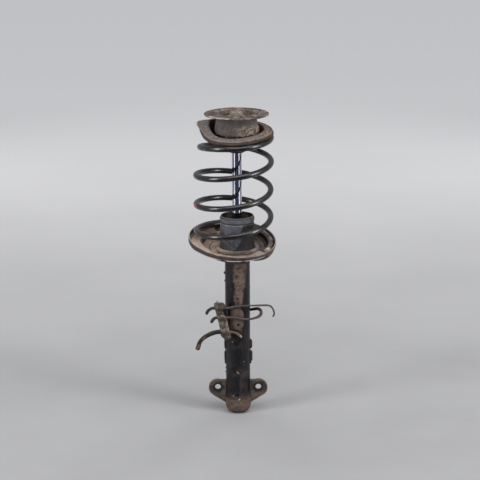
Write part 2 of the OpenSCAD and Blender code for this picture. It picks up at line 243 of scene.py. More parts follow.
def worn(name, base, base2, dust, dust2, dust_amt=0.5, top=0.5, rust=None, rust_amt=0.0, rough=0.42, rough_dust=0.9,
         edge=None, edge_amt=0.0, masks=(), scale=1.0, bump=0.5, off=(0, 0, 0), coat=0.0, spec=0.5, crevice_shade=0.75, vary=0.5, ao_d=0.009, coat_rough=0.15):
    """painted steel under uneven dust and dirt, with painted shade darkening its crevices through ambient occlusion.
    masks: functions (Mat) -> (mask, colour, roughness)
    """
    m = Mat(name)
    big = m.noise(14 * scale, 5, 0.6, 0.4, off=off)
    mid = m.noise(60 * scale, 6, 0.62, 0.2, off=off)
    fine = m.noise(330 * scale, 5, 0.65, off=off)
    grit = m.noise(1100 * scale, 3, 0.6, off=off)
    col = m.mix(lin(base), lin(base2), m.ramp(mid, 0.35, 0.7))
    dcol = m.mix(lin(dust), lin(dust2), m.ramp(m.noise(38 * scale, 5, 0.6, off=(3, 1, 2)), 0.38, 0.66))
    dcol = m.mix(dcol, lin(dust, 0.55), m.ramp(fine, 0.62, 0.4, 0.0, 0.45))
    nz = m.normal()[2]
    amt = m.add(m.add(m.mul(big, 0.55), m.mul(mid, 0.35)), m.mul(fine, 0.2))
    amt = m.add(amt, m.mul(m.ramp(nz, -0.2, 0.9), top))
    lo = 1.02 - dust_amt
    dmask = m.ramp(amt, lo - 0.16, lo + 0.16)
    rgh = m.ramp(dmask, 0, 1, rough, rough_dust, smooth=False)
    rgh = m.add(rgh, m.mul(m.math("SUBTRACT", fine, 0.5), 0.22))
    col = m.mix(col, dcol, dmask)
    if rust:
        rm = m.ramp(m.add(m.mul(m.noise(75 * scale, 6, 0.7, 0.6, off=(7, 5, 1)), 0.75), m.mul(fine, 0.25)), 0.66 - 0.2 * rust_amt, 0.72 - 0.2 * rust_amt)
        col = m.mix(col, m.mix(lin(rust), lin(rust, 0.5), fine), rm)
        rgh = m.mx(rgh, m.mul(rm, 0.85))
    if edge:
        em = m.ramp(m.add(m.point(), m.mul(m.math("SUBTRACT", fine, 0.5), 0.12)), 0.55 - 0.05 * edge_amt, 0.64 - 0.05 * edge_amt)
        em = m.mul(em, min(1.0, edge_amt))
        col = m.mix(col, lin(edge), em)
        rgh = m.math("SUBTRACT", rgh, m.mul(em, 0.25))
    for f in masks:
        k, c, r = f(m)
        col = m.mix(col, c, k)
        rgh = m.add(m.mul(rgh, m.inv(k)), m.mul(k, r))
    if vary:
        v = m.add(m.mul(m.noise(150 * scale, 5, 0.7, 0.3, off=(11, 4, 6)), 0.65), m.mul(m.noise(520 * scale, 3, 0.6, off=(2, 14, 6)), 0.35))
        dk = m.mul(m.ramp(v, 0.50, 0.36), vary)
        col = m.mix(col, m.dark(col, 0.28), dk)
        lt = m.mul(m.ramp(v, 0.55, 0.70), vary * 0.8)
        col = m.mix(col, m.dark(col, 2.1), lt)
    # painted shade: ambient occlusion darkens the colour in crevices, corners and recesses
    if crevice_shade:
        ao = m.t.nodes.new("ShaderNodeAmbientOcclusion")
        ao.samples = 6
        ao.inputs["Distance"].default_value = ao_d
        k = m.mul(m.ramp(m.add(ao.outputs["AO"], m.mul(m.math("SUBTRACT", mid, 0.5), 0.25)), 0.78, 0.36), crevice_shade)
        col = m.mix(col, m.dark(col, 0.16), k)
    h = m.add(m.mul(fine, 0.6), m.mul(grit, 0.5))
    nrm = m.bump(h, bump * 0.5, 0.0006)
    nrm = m.bump(mid, bump * 0.5, 0.0018, nrm)
    return m.done(col, rgh, 0.0, nrm, spec=spec, coat=coat, coat_rough=coat_rough)

# ------------------------------------------------------------------ mesh helpers (millimetres in, metres out)
def make(name, verts, faces, mats, body, replaces=(), slot=None, angle=38, recalc=True, merge=True):
    me = bpy.data.meshes.new(name)
    me.from_pydata([(v[0] * MM, v[1] * MM, v[2] * MM) for v in verts], [], faces)
    bm = bmesh.new()
    bm.from_mesh(me)
    if merge:
        bmesh.ops.remove_doubles(bm, verts=bm.verts, dist=1e-6)
        bmesh.ops.dissolve_degenerate(bm, edges=bm.edges, dist=1e-7)
    if recalc:
        bmesh.ops.recalc_face_normals(bm, faces=bm.faces)
    bm.to_mesh(me)
    bm.free()
    me.shade_smooth()
    me.set_sharp_from_angle(angle=math.radians(angle))
    ob = bpy.data.objects.new(name, me)
    scene.collection.objects.link(ob)
    for mt in (mats if isinstance(mats, (list, tuple)) else [mats]):
        me.materials.append(mt)
    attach(ob, body)
    if replaces:
        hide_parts(*replaces)
    return ob


def fillet(P, R, n=4):
    """rounds the corners of a closed (r, z) outline; R is one radius or a list"""
    out = []
    k = len(P)
    for i in range(k):
        p = np.array(P[i], float); a = np.array(P[i - 1], float); b = np.array(P[(i + 1) % k], float)
        r = R[i] if isinstance(R, (list, tuple)) else R
        u, v = a - p, b - p
        lu, lv = np.linalg.norm(u), np.linalg.norm(v)
        if r <= 0 or lu < 1e-6 or lv < 1e-6 or p[0] < 1e-6:
            out.append(tuple(p)); continue
        u, v = u / lu, v / lv
        ang = math.acos(max(-1, min(1, float(u @ v))))
        if ang > math.radians(168):
            out.append(tuple(p)); continue
        d = min(r / math.tan(ang / 2), lu * 0.46, lv * 0.46)
        for j in range(n + 1):
            t = j / n
            q = (1 - t) ** 2 * (p + u * d) + 2 * t * (1 - t) * p + t * t * (p + v * d)
            out.append(tuple(q))
    return out


def split(P, step):
    """adds points along the long edges of a closed outline"""
    out = []
    for i in range(len(P)):
        a, b = np.array(P[i], float), np.array(P[(i + 1) % len(P)], float)
        m = max(1, int(np.linalg.norm(b - a) / step))
        for j in range(m):
            out.append(tuple(a + (b - a) * j / m))
    return out


def lathe(name, P, mats, body, seg=160, replaces=(), slot=None, r=0.5, step=None, warp=None, a0=0.0, a1=360.0, place=None, angle=38, nf=4):
    P = fillet(P, r, nf) if r else list(P)
    if step:
        P = split(P, step)
    full = abs(a1 - a0) > 359.9
    cnt = seg if full else seg + 1
    k = len(P)
    V, F = [], []
    for i in range(cnt):
        a = math.radians(a0 + (a1 - a0) * i / seg)
        for (rr, z) in P:
            v = Vector((rr * math.cos(a), rr * math.sin(a), z))
            if warp:
                v = warp(v, rr, a, z)
            if place:
                v = place @ v
            V.append(v)
    for i in range(seg):
        i2 = (i + 1) % cnt if full else i + 1
        for j in range(k):
            j2 = (j + 1) % k
            F.append((i * k + j, i * k + j2, i2 * k + j2, i2 * k + j))
    if not full:
        F.append(tuple(range(k)))
        F.append(tuple(reversed(range((cnt - 1) * k, cnt * k))))
    return make(name, V, F, mats, body, replaces, slot, angle)


def cr(P, m):
    P = [np.array(p, float) for p in P]
    out = []
    n = len(P)
    for i in range(n - 1):
        a, b, c, d = P[max(0, i - 1)], P[i], P[i + 1], P[min(n - 1, i + 2)]
        for k in range(m):
            t = k / m
            out.append(0.5 * (2 * b + (c - a) * t + (2 * a - 5 * b + 4 * c - d) * t * t + (3 * b - a - 3 * c + d) * t ** 3))
    out.append(P[-1])
    return out


def sweep(name, Q, rad, mats, body, n=20, replaces=(), slot=None, cap="round", hollow=None, bumps=0.0, seed=0, angle=50):
    """bar (or hose, with hollow) along Q with parallel-transport frames"""
    Q = [Vector(q) for q in Q]
    L = len(Q)
    T = [(Q[min(L - 1, i + 1)] - Q[max(0, i - 1)]).normalized() for i in range(L)]
    up = Vector((0, 1, 0)) if abs(T[0].y) < 0.9 else Vector((0, 0, 1))
    S = T[0].cross(up).normalized()
    V, F, rings = [], [], []

    def add_ring(c, t, s, r):
        u = s.cross(t)
        base = len(V)
        for j in range(n):
            a = 2 * pi * j / n
            d = math.cos(a) * s + math.sin(a) * u
            rr = r
            if bumps:
                p = c + d * r
                rr += bumps * (noise.noise(Vector((p.x * 0.09 + seed, p.y * 0.09, p.z * 0.09))) + 0.5 * noise.noise(Vector((p.x * 0.3, p.y * 0.3 + seed, p.z * 0.3))))
            V.append(c + d * rr)
        rings.append(base)

    R = rad if callable(rad) else (lambda t: rad)
    frames = []
    s = S
    for i in range(L):
        if i:
            q = T[i - 1].rotation_difference(T[i])
            s = (q @ s)
            s = (s - T[i] * s.dot(T[i])).normalized()
        frames.append(s.copy())
    r0, r1 = R(0.0), R(1.0)
    if not hollow:
        if cap == "round":
            for k in range(1, 5):
                a = pi / 2 * k / 5
                add_ring(Q[0] - T[0] * (r0 * 0.6 * math.cos(a)), T[0], frames[0], r0 * math.sin(a) * 0.98)
        elif cap == "flat":
            add_ring(Q[0] - T[0] * 0.0, T[0], frames[0], r0 * 0.86)
            Q0 = Q[0] + T[0] * (r0 * 0.14)
    for i in range(L):
        add_ring(Q[i] + (T[0] * (r0 * 0.14) if (cap == "flat" and i == 0 and not hollow) else Vector()), T[i], frames[i], R(i / (L - 1)))
    if not hollow:
        if cap == "round":
            for k in range(4, 0, -1):
                a = pi / 2 * k / 5
                add_ring(Q[-1] + T[-1] * (r1 * 0.6 * math.cos(a)), T[-1], frames[-1], r1 * math.sin(a) * 0.98)
        elif cap == "flat":
            add_ring(Q[-1] + T[-1] * (r1 * 0.14), T[-1], frames[-1], r1 * 0.86)
    else:
        for i in range(L - 1, -1, -1):
            add_ring(Q[i], T[i], frames[i], hollow)
    M = len(rings)
    for a in range(M - 1):
        for j in range(n):
            k = (j + 1) % n
            F.append((rings[a] + j, rings[a] + k, rings[a + 1] + k, rings[a + 1] + j))
    if hollow:
        for j in range(n):
            k = (j + 1) % n
            F.append((rings[-1] + j, rings[-1] + k, rings[0] + k, rings[0] + j))
    elif cap:
        F.append(tuple(reversed(range(rings[0], rings[0] + n))))
        F.append(tuple(range(rings[-1], rings[-1] + n)))
    return make(name, V, F, mats, body, replaces, slot, angle)


def band(name, S, mats, body, replaces=(), slot=None, angle=38):
    k = len(S[0]); n = len(S)
    V, F = [], []
    for i, s in enumerate(S):
        a = 2 * pi * i / n
        for p in s:
            V.append((p[0] * math.cos(a), p[0] * math.sin(a), p[1]))
    for i in range(n):
        i2 = (i + 1) % n
        for j in range(k):
            j2 = (j + 1) % k
            F.append((i * k + j, i * k + j2, i2 * k + j2, i2 * k + j))
    return make(name, V, F, mats, body, replaces, slot, angle)


def cut(ob, cutters, keep=False):
    """subtracts helper solids from ob for good"""
    for c in cutters:
        md = ob.modifiers.new("cut", "BOOLEAN")
        md.object = c
        md.operation = "DIFFERENCE"
        md.solver = "EXACT"
    bpy.context.view_layer.update()
    dg = bpy.context.evaluated_depsgraph_get()
    me = bpy.data.meshes.new_from_object(ob.evaluated_get(dg))
    ob.modifiers.clear()
    ob.data = me
    me.shade_smooth()
    me.set_sharp_from_angle(angle=math.radians(35))
    for c in cutters:
        if not keep:
            bpy.data.objects.remove(c)


def cutter(r, p0, p1, n=48):
    p0, p1 = Vector(p0) * MM, Vector(p1) * MM
    bm = bmesh.new()
    bmesh.ops.create_cone(bm, cap_ends=True, segments=n, radius1=r * MM, radius2=r * MM, depth=(p1 - p0).length)
    q = (p1 - p0).to_track_quat("Z", "Y")
    bmesh.ops.transform(bm, matrix=Matrix.Translation((p0 + p1) / 2) @ q.to_matrix().to_4x4(), verts=bm.verts)
    me = bpy.data.meshes.new("cutter")
    bm.to_mesh(me); bm.free()
    o = bpy.data.objects.new("cutter", me)
    scene.collection.objects.link(o)
    return o


def sm(t):
    t = min(1.0, max(0.0, t))
    return t * t * (3 - 2 * t)


def lerp(a, b, t):
    return a + (b - a) * t


def look(x, T):
    if x <= T[0][0]:
        return T[0][1]
    for (a, b), (c, d) in zip(T, T[1:]):
        if x <= c:
            return b + (d - b) * (x - a) / (c - a)
    return T[-1][1]


def nz3(x, y, z, s, seed=0.0):
    return noise.noise(Vector((x * s + seed, y * s - seed, z * s + 2 * seed)))

# ------------------------------------------------------------------ materials
def streak(m):
    # brown dust running down the front of the tube from under the seat to the line bracket
    x, y, z = m.xyz()[0], m.xyz()[1], m.xyz()[2]
    w = m.noise(55, 4, 0.6)
    xs = m.add(x, m.mul(m.math("SUBTRACT", w, 0.5), 0.022))
    zz = m.ramp(z, 0.262, 0.345, smooth=False)
    xs = m.math("DIVIDE", m.add(xs, m.mul(zz, -0.0050), -0.0008), m.add(m.mul(zz, 0.0068), 0.0092))
    k = m.ramp(m.math("ABSOLUTE", xs), 0.45, 1.20, 1.0, 0.0)
    k = m.mul(k, m.band(z, 0.195, 0.215, 0.375, 0.395), m.ramp(y, -0.020, -0.010, 1.0, 0.0))
    k = m.mul(k, m.ramp(m.noise(120, 5, 0.7), 0.30, 0.55))
    return m.mul(k, 0.9), m.mix(lin("#665448"), lin("#87715d"), m.noise(90, 5)), 0.92

def foot(m):
    z = m.xyz()[2]
    w = m.noise(70, 5, 0.65)
    k = m.ramp(m.add(z, m.mul(m.math("SUBTRACT", w, 0.5), 0.05)), 0.026, 0.052, 1.0, 0.0)
    return m.mul(k, 0.92), m.mix(lin("#4a3b2f"), lin("#66533f"), m.ramp(m.noise(150, 5), 0.35, 0.65)), 0.93

def tube_mid(m):
    z = m.xyz()[2]
    w = m.noise(45, 5, 0.65, off=(2, 2, 0))
    k = m.mul(m.band(z, 0.04, 0.075, 0.105, 0.118), m.ramp(w, 0.46, 0.66))
    k = m.mx(m.mul(k, 0.7), m.mul(m.band(z, 0.100, 0.120, 0.180, 0.200), m.mul(m.ramp(m.noise(38, 5, 0.7, off=(5, 0, 7)), 0.50, 0.66), 0.5)))
    return k, lin("#43382f"), 0.9

def chips(m):
    k = m.ramp(m.add(m.mul(m.noise(190, 3, 0.5, off=(5, 2, 8)), 0.8), m.mul(m.noise(700, 2), 0.2)), 0.705, 0.725)
    return m.mul(k, 0.8), lin("#a3937f"), 0.7

def runs(m):
    k = m.ramp(m.noise(60, 5, 0.6, stretch=(1.6, 1.6, 0.18)), 0.54, 0.74)
    return m.mul(k, 0.45), lin("#4b4038"), 0.85

def dimple(m):
    # painted shade filling the locating dimple
    k = m.near((-0.0018, -0.0278, 0.0465), 0.0030, 0.0042, m.noise(300, 2), 0.001)
    return m.mul(k, 0.95), lin("#0b0a0a"), 0.9

def flecks(m):
    # stray pale flecks of dried paint and mud
    k = None
    for p, r in (((0.0030, -0.028, 0.037), 0.0021), ((-0.0010, -0.028, 0.1035), 0.0015), ((-0.0110, -0.026, 0.045), 0.0012), ((-0.0125, -0.025, 0.1760), 0.0013),
                 ((0.0018, -0.028, 0.100), 0.0012), ((-0.0080, -0.027, 0.262), 0.0012), ((0.0050, -0.0278, 0.0335), 0.0012), ((0.0125, -0.0255, 0.0300), 0.0013),
                 ((-0.0040, -0.0282, 0.348), 0.0010), ((0.0140, -0.025, 0.128), 0.0010), ((0.0, 0.028, 0.21), 0.0016), ((0.02, 0.02, 0.30), 0.0015)):
        q = m.near(p, r * 0.6, r * 1.2, m.noise(500, 3), 0.0022)
        k = q if k is None else m.mx(k, q)
    k = m.mx(m.mul(k, 0.85), m.mul(m.ramp(m.add(m.mul(m.noise(230, 3, 0.5, off=(5, 2, 8)), 0.8), m.mul(m.noise(700, 2), 0.2)), 0.725, 0.74), 0.7))
    return k, lin("#b3a594"), 0.75

M_tube = worn("tube_paint_worn", "#131215", "#19181d", "#463b34", "#332c28", 0.17, 0.1, rough=0.36, masks=(runs, tube_mid, streak, foot, dimple, flecks), bump=0.35, spec=0.26, vary=0.35)
M_cap = worn("cap_dirt", "#38302a", "#2b2623", "#5e4d3d", "#4a3d31", 0.62, 0.1, rust="#6b4a30", rust_amt=0.1, masks=(foot, chips), bump=1.3, rough=0.6, vary=0.75)

def rings(m):
    r1 = m.radius(-0.047, 0.0594, "y"); r2 = m.radius(0.047, 0.0594, "y")
    r = m.math("MINIMUM", r1, r2)
    return m.mul(m.ramp(m.add(r, m.mul(m.math("SUBTRACT", m.noise(160, 3), 0.5), 0.0024)), 0.0112, 0.0122, 1.0, 0.0), 1.0), m.mix(lin("#080707"), lin("#141110"), m.noise(200, 4)), 0.5

def ear_dust(m):
    x, z = m.xyz()[0], m.xyz()[2]
    low = m.mul(m.ramp(z, 0.052, 0.040), m.ramp(x, -0.02, 0.03, 0.45, 1.0))
    return m.mul(m.mx(m.ramp(m.noise(48, 5, 0.6, off=(4, 0, 4)), 0.48, 0.64), m.mul(low, 0.9)), 0.75), m.mix(lin("#786856"), lin("#5a4c40"), m.noise(160, 5)), 0.93

# the pale edge colour here is a painted highlight along the rims of the ears
M_ears = worn("ear_rust_dust", "#25201d", "#342b25", "#443a30", "#5a4d41", 0.42, 0.15, rust="#5c4231", rust_amt=0.3, edge="#85786a", edge_amt=0.4, masks=(ear_dust, rings), bump=1.0, rough=0.65)
M_lug = worn("lug_paint_worn", "#151415", "#201d1d", "#443931", "#54473c", 0.30, 0.3, rust="#6a452c", rust_amt=0.2, masks=(chips,), bump=0.7, rough=0.5)
M_weld = worn("weld_bead_dark", "#1b1817", "#28221f", "#55453a", "#4a3c30", 0.45, 0.1, rust="#70482c", rust_amt=0.4, bump=1.2, rough=0.6)

def seat_h(m):
    x, y, z = m.xyz()
    return m.add(m.mul(m.math("SUBTRACT", z, 0.4158), 0.9758), m.mul(m.add(x, 0.011), 0.0682), m.mul(y, -0.2079))

def seat_low_edge(m):
    # the lower edge of the rim is rubbed bright along the front
    h = seat_h(m); r = m.radius(-0.011, 0.0); y = m.xyz()[1]; x = m.xyz()[0]
    k = m.mul(m.band(h, -0.0110, -0.0096, -0.0068, -0.0060), m.ramp(r, 0.0940, 0.0960), m.ramp(y, -0.045, -0.070), m.ramp(m.noise(44, 4, 0.6, off=(3, 8, 1)), 0.34, 0.50))
    return m.mul(k, 0.92), lin("#e2dad0"), 0.45

def seat_step_shade(m):
    # painted shade darkening the steps of the pressing
    r = m.add(m.radius(-0.011, 0.0), m.mul(m.math("SUBTRACT", m.noise(60, 5), 0.5), 0.0040))
    k = m.mx(m.band(r, 0.0690, 0.0706, 0.0728, 0.0745), m.mx(m.band(r, 0.0500, 0.0512, 0.0526, 0.0545), m.band(r, 0.0918, 0.0930, 0.0946, 0.0958)))
    k = m.mul(k, m.ramp(seat_h(m), -0.0265, -0.0255), m.ramp(m.noise(30, 4, off=(6, 6, 6)), 0.36, 0.52))
    return m.mul(k, 0.72), m.mix(lin("#1d1916"), lin("#332b26"), m.noise(150, 4)), 0.85

def seat_right(m):
    x, y = m.xyz()[0], m.xyz()[1]
    k = m.mul(m.ramp(x, 0.015, 0.040), m.ramp(m.normal()[2], 0.0, 0.6), m.ramp(m.noise(50, 5, 0.7, off=(7, 7, 2)), 0.30, 0.50))
    return m.mul(k, 0.9), m.mix(lin("#8c7c70"), lin("#b5a495"), m.noise(130, 4)), 0.8

def seat_left(m):
    # dust lies thickest on the left and front left of the seat
    x, y = m.xyz()[0], m.xyz()[1]
    w = m.noise(30, 5, 0.6, off=(1, 6, 0))
    d = m.add(m.mul(x, -7.0), m.mul(w, 1.2))
    k = m.mul(m.ramp(d, 0.42, 0.95), m.ramp(m.normal()[2], 0.1, 0.7))
    return m.mul(k, 0.92), m.mix(lin("#b39b80"), lin("#d8bfa0"), m.ramp(m.noise(70, 5), 0.35, 0.65)), 0.95

def seat_dark(m):
    x, y = m.xyz()[0], m.xyz()[1]
    w = m.noise(42, 5, 0.65, off=(9, 1, 3))
    d = m.add(m.mul(m.add(x, m.mul(y, 0.35)), 8.0), m.mul(w, 0.9))
    k = m.ramp(d, 0.55, 1.0)
    return m.mul(k, 0.35), m.mix(lin("#5a5049"), lin("#7c6d61"), m.noise(120, 5)), 0.7

def rim_wear(m):
    x, y = m.xyz()[0], m.xyz()[1]
    r = m.radius(-0.011, 0.0)
    k = m.mul(m.band(r, 0.0950, 0.0966, 0.0986, 0.0997), m.ramp(y, -0.050, -0.082), m.ramp(m.normal()[2], 0.2, 0.7))
    k = m.mul(k, m.ramp(m.noise(46, 4, 0.6, off=(3, 3, 1)), 0.43, 0.60))
    return m.mul(k, 0.35), lin("#c9bfb2"), 0.42

def rim_dirt(m):
    # dark dirt on the turned-up rim along the front
    y = m.xyz()[1]
    r = m.radius(-0.011, 0.0)
    k = m.mul(m.ramp(r, 0.0925, 0.0955), m.ramp(y, -0.045, -0.075), m.ramp(m.noise(70, 5, 0.7, off=(6, 2, 6)), 0.34, 0.56))
    return m.mul(k, 0.75), m.mix(lin("#3d332c"), lin("#56483d"), m.noise(160, 4)), 0.85

M_perch = worn("perch_dusty_paint", "#211e1e", "#2e2928", "#655547", "#7c6a58", 0.34, 0.34, rust="#6f4a2e", rust_amt=0.25, masks=(seat_dark, seat_right, seat_left, seat_step_shade, rim_wear, rim_dirt, seat_low_edge, chips), bump=1.1, rough=0.5, crevice_shade=0.55)
M_neck = worn("perch_neck_paint", "#1d1b1c", "#262324", "#4c3f34", "#5f4f40", 0.35, 0.4, masks=(chips,), bump=0.6, rough=0.48)

def coil_dust(m):
    k = m.mul(m.ramp(m.normal()[2], 0.25, 0.85), m.ramp(m.noise(40, 5, 0.6, off=(6, 1, 1)), 0.38, 0.62))
    return m.mul(k, 0.34), m.mix(lin("#463c37"), lin("#544941"), m.noise(140, 4)), 0.7

def coil_low(m):
    x, y, z = m.xyz()
    k = m.mul(m.ramp(z, 0.436, 0.424), m.ramp(x, 0.03, 0.05), m.ramp(m.normal()[2], 0.0, 0.6), m.ramp(m.noise(60, 4), 0.38, 0.55))
    return m.mul(k, 0.85), m.mix(lin("#7d6b5a"), lin("#9a8670"), m.noise(200, 4)), 0.9

def coil_scuff(m):
    k = m.ramp(m.add(m.mul(m.noise(90, 5, 0.65, off=(2, 8, 3)), 0.8), m.mul(m.noise(500, 2), 0.2)), 0.60, 0.68)
    return m.mul(k, 0.6), lin("#77706b"), 0.5

def coil_rust(m):
    k = m.ramp(m.add(m.mul(m.noise(55, 6, 0.7, off=(1, 3, 9)), 0.8), m.mul(m.noise(400, 2), 0.2)), 0.64, 0.69)
    return m.mul(k, 0.55), m.mix(lin("#6b4a38"), lin("#4c352a"), m.noise(200, 4)), 0.85

def coil_end(m):
    # the cut end of the wire on the lower seat is dusty like the seat around it
    k = m.near((0.0660, -0.0407, 0.3954), 0.0085, 0.0125, m.noise(160, 4), 0.003)
    return m.mul(k, 0.95), m.mix(lin("#a39282"), lin("#c3b2a1"), m.noise(200, 4)), 0.9

def red_mark(m):
    w = m.noise(260, 4, 0.6)
    k = m.near((-0.0945, -0.0235, 0.4945), 0.0092, 0.0115, w, 0.006)
    return m.mul(k, 0.92), m.mix(lin("#c2432f"), lin("#8e2c20"), w), 0.6

M_coil = worn("spring_coating", "#151214", "#1e1b1d", "#3e3633", "#302a28", 0.20, 0.12, rough=0.26, rough_dust=0.7, masks=(coil_dust, coil_scuff, coil_rust, coil_low, coil_end, red_mark), bump=0.45, coat=0.35, vary=0.4, crevice_shade=0.5)

def sleeve_wear(m):
    k = m.ramp(m.noise(60, 6, 0.65, 0.4, stretch=(1, 1, 1.6), off=(1, 1, 5)), 0.50, 0.66)
    return m.mul(k, 0.6), m.mix(lin("#666770"), lin("#80808a"), m.noise(300, 4)), 0.6

def sleeve_inside(m):
    r = m.radius()
    k = m.ramp(r, 0.0368, 0.0380, 1.0, 0.0)
    return m.mul(k, 0.85), m.mix(lin("#3b2f28"), lin("#241e1b"), m.noise(90, 5)), 0.9

def sleeve_rim(m):
    z = m.xyz()[2]
    k = m.mul(m.ramp(m.add(z, m.mul(m.math("SUBTRACT", m.noise(120, 4), 0.5), 0.006)), 0.4675, 0.4705), m.ramp(m.noise(90, 4, off=(5, 5, 5)), 0.35, 0.6))
    return m.mul(k, 0.8), m.mix(lin("#6b5a4b"), lin("#4e4239"), m.noise(200, 4)), 0.9

def sleeve_dark(m):
    x, z = m.xyz()[0], m.xyz()[2]
    k = m.ramp(m.add(m.noise(34, 4, 0.6, off=(8, 8, 2)), m.mul(x, 13.0), m.mul(m.math("SUBTRACT", 0.455, z), 2.5)), 0.54, 0.68)
    k = m.mul(k, m.ramp(z, 0.4575, 0.4535))
    return m.mul(k, 1.0), m.mix(lin("#0f0e10"), lin("#1c1b1e"), m.noise(150, 4)), 0.75

def sleeve_groove_shade(m):
    # painted shade: dark lines in the groove and under the bead of the collar
    z = m.xyz()[2]
    zz = m.add(z, m.mul(m.math("SUBTRACT", m.noise(60, 4), 0.5), 0.0018))
    k = m.mx(m.band(zz, 0.4545, 0.4556, 0.4574, 0.4586), m.band(zz, 0.4662, 0.4670, 0.4680, 0.4690))
    return m.mul(k, 0.75), lin("#1b1a1c"), 0.7

def sleeve_edge_highlight(m):
    # painted highlight: pale lines along the edges of the collar beads
    z = m.xyz()[2]
    k = m.mx(m.band(z, 0.4588, 0.4593, 0.4602, 0.4610), m.band(z, 0.4530, 0.4535, 0.4541, 0.4546))
    return m.mul(k, m.mul(m.ramp(m.noise(60, 4, off=(2, 9, 2)), 0.40, 0.56), 0.65)), lin("#8d8c90"), 0.45

def sleeve_blot(m):
    k = m.ramp(m.add(m.mul(m.noise(48, 5, 0.7, 0.4, off=(4, 6, 9)), 0.8), m.mul(m.noise(220, 3), 0.2)), 0.50, 0.60)
    return m.mul(k, 0.75), m.mix(lin("#1d1d22"), lin("#2d2d33"), m.noise(150, 4)), 0.7

def sleeve_sheen_highlight(m):
    # painted sheen: paler streak down the left side of the lower sleeve
    x, z = m.xyz()[0], m.xyz()[2]
    k = m.mul(m.ramp(z, 0.425, 0.450), m.ramp(m.add(x, m.mul(m.math("SUBTRACT", m.noise(50, 4), 0.5), 0.03)), 0.022, 0.004))
    return m.mul(k, 0.55), m.mix(lin("#5e6068"), lin("#787a82"), m.noise(200, 4)), 0.5

M_sleeve = worn("sleeve_plastic_scuffed", "#3d3f48", "#4a4c56", "#5a4f46", "#4b443e", 0.14, 0.35, rough=0.46, masks=(sleeve_wear, sleeve_blot, sleeve_sheen_highlight, sleeve_dark, sleeve_groove_shade, sleeve_edge_highlight, sleeve_inside, sleeve_rim), bump=0.45)

def disc_recess(m):
    r = m.radius()
    w = m.noise(80, 4)
    k = m.ramp(m.add(r, m.mul(m.math("SUBTRACT", w, 0.5), 0.006)), 0.0385, 0.0425, 1.0, 0.0)
    return m.mul(k, 0.88), m.mix(lin("#2a2019"), lin("#6d563c"), m.ramp(m.noise(95, 5, 0.7), 0.38, 0.62)), 0.9

def disc_rim_highlight(m):
    # painted highlight along the front left of the disc rim
    x, y = m.xyz()[0], m.xyz()[1]
    r = m.radius()
    k = m.mul(m.ramp(r, 0.0660, 0.0690), m.ramp(y, -0.028, -0.045), m.ramp(x, -0.012, -0.022, 0.0, 1.0), m.ramp(m.normal()[2], 0.0, 0.6))
    k = m.mul(k, m.ramp(m.noise(60, 4, 0.6, off=(4, 4, 4)), 0.28, 0.5))
    return m.mul(k, 0.95), m.mix(lin("#a8957c"), lin("#cfc6b8"), m.ramp(m.noise(90, 3), 0.45, 0.6)), 0.55

def disc_dirt(m):
    k = m.ramp(m.noise(34, 6, 0.65, 0.5, off=(2, 5, 5)), 0.47, 0.62)
    return m.mul(k, 0.8), m.mix(lin("#755a3f"), lin("#a08869"), m.noise(150, 5)), 0.9

def disc_dark(m):
    k = m.ramp(m.add(m.mul(m.noise(72, 5, 0.68, 0.6, off=(1, 7, 3)), 0.8), m.mul(m.noise(280, 3), 0.2)), 0.53, 0.60)
    return m.mul(k, 0.9), m.mix(lin("#1b1715"), lin("#2c2521"), m.noise(150, 4)), 0.85

def disc_pale(m):
    k = m.ramp(m.add(m.mul(m.noise(85, 5, 0.65, 0.4, off=(9, 5, 1)), 0.8), m.mul(m.noise(420, 3), 0.2)), 0.56, 0.64)
    return m.mul(k, 0.8), m.mix(lin("#ab9c88"), lin("#ccbfad"), m.noise(300, 3)), 0.7

M_disc = worn("disc_worn_steel", "#37322f", "#484340", "#6e645b", "#5b5048", 0.40, 0.12, rust="#7a4c2c", rust_amt=0.4, edge="#a39786", edge_amt=0.7, masks=(disc_dirt, disc_dark, disc_pale, disc_recess, disc_rim_highlight), bump=1.4, rough=0.5, vary=0.9)

def hub_specks(m):
    x, z = m.xyz()[0], m.xyz()[2]
    w = m.noise(260, 6, 0.7)
    v = m.noise(120, 5, 0.7, off=(3, 9, 1))
    area = m.mul(m.ramp(m.add(x, m.mul(m.math("SUBTRACT", m.noise(60, 4), 0.5), 0.03)), -0.004, 0.018), m.ramp(z, 0.690, 0.672))
    k = m.mul(area, m.ramp(m.add(m.mul(w, 0.6), m.mul(v, 0.4)), 0.47, 0.56))
    return k, m.mix(lin("#9c8468"), lin("#c9b294"), m.noise(400, 3)), 0.95

def hub_low(m):
    z = m.xyz()[2]
    k = m.mul(m.ramp(z, 0.678, 0.665), m.ramp(m.noise(90, 5, 0.7, off=(1, 1, 1)), 0.42, 0.58))
    return m.mul(k, 0.6), m.mix(lin("#75624d"), lin("#5c4c3d"), m.noise(250, 4)), 0.95

M_hub = worn("hub_rubber_dusty", "#544f4c", "#635c59", "#776d63", "#6a6057", 0.38, 0.1, rough=0.75, masks=(hub_low, hub_specks), bump=0.9, spec=0.3)

def plate_rust(m):
    k = m.ramp(m.add(m.mul(m.noise(44, 5, 0.7, 0.5, off=(8, 2, 2)), 0.8), m.mul(m.noise(300, 3), 0.2)), 0.545, 0.600)
    return m.mul(k, 0.85), m.mix(lin("#9c6a42"), lin("#765138"), m.noise(180, 5)), 0.92

def plate_pale(m):
    k = m.mul(m.ramp(m.noise(70, 5, 0.65, off=(0, 7, 7)), 0.56, 0.66), m.ramp(m.normal()[2], 0.3, 0.8))
    return m.mul(k, 0.85), lin("#b9aea2"), 0.6

def plate_dark(m):
    k = m.ramp(m.add(m.mul(m.noise(66, 5, 0.7, 0.4, off=(4, 8, 0)), 0.8), m.mul(m.noise(260, 3), 0.2)), 0.55, 0.62)
    return m.mul(k, 0.7), lin("#2b2624"), 0.8

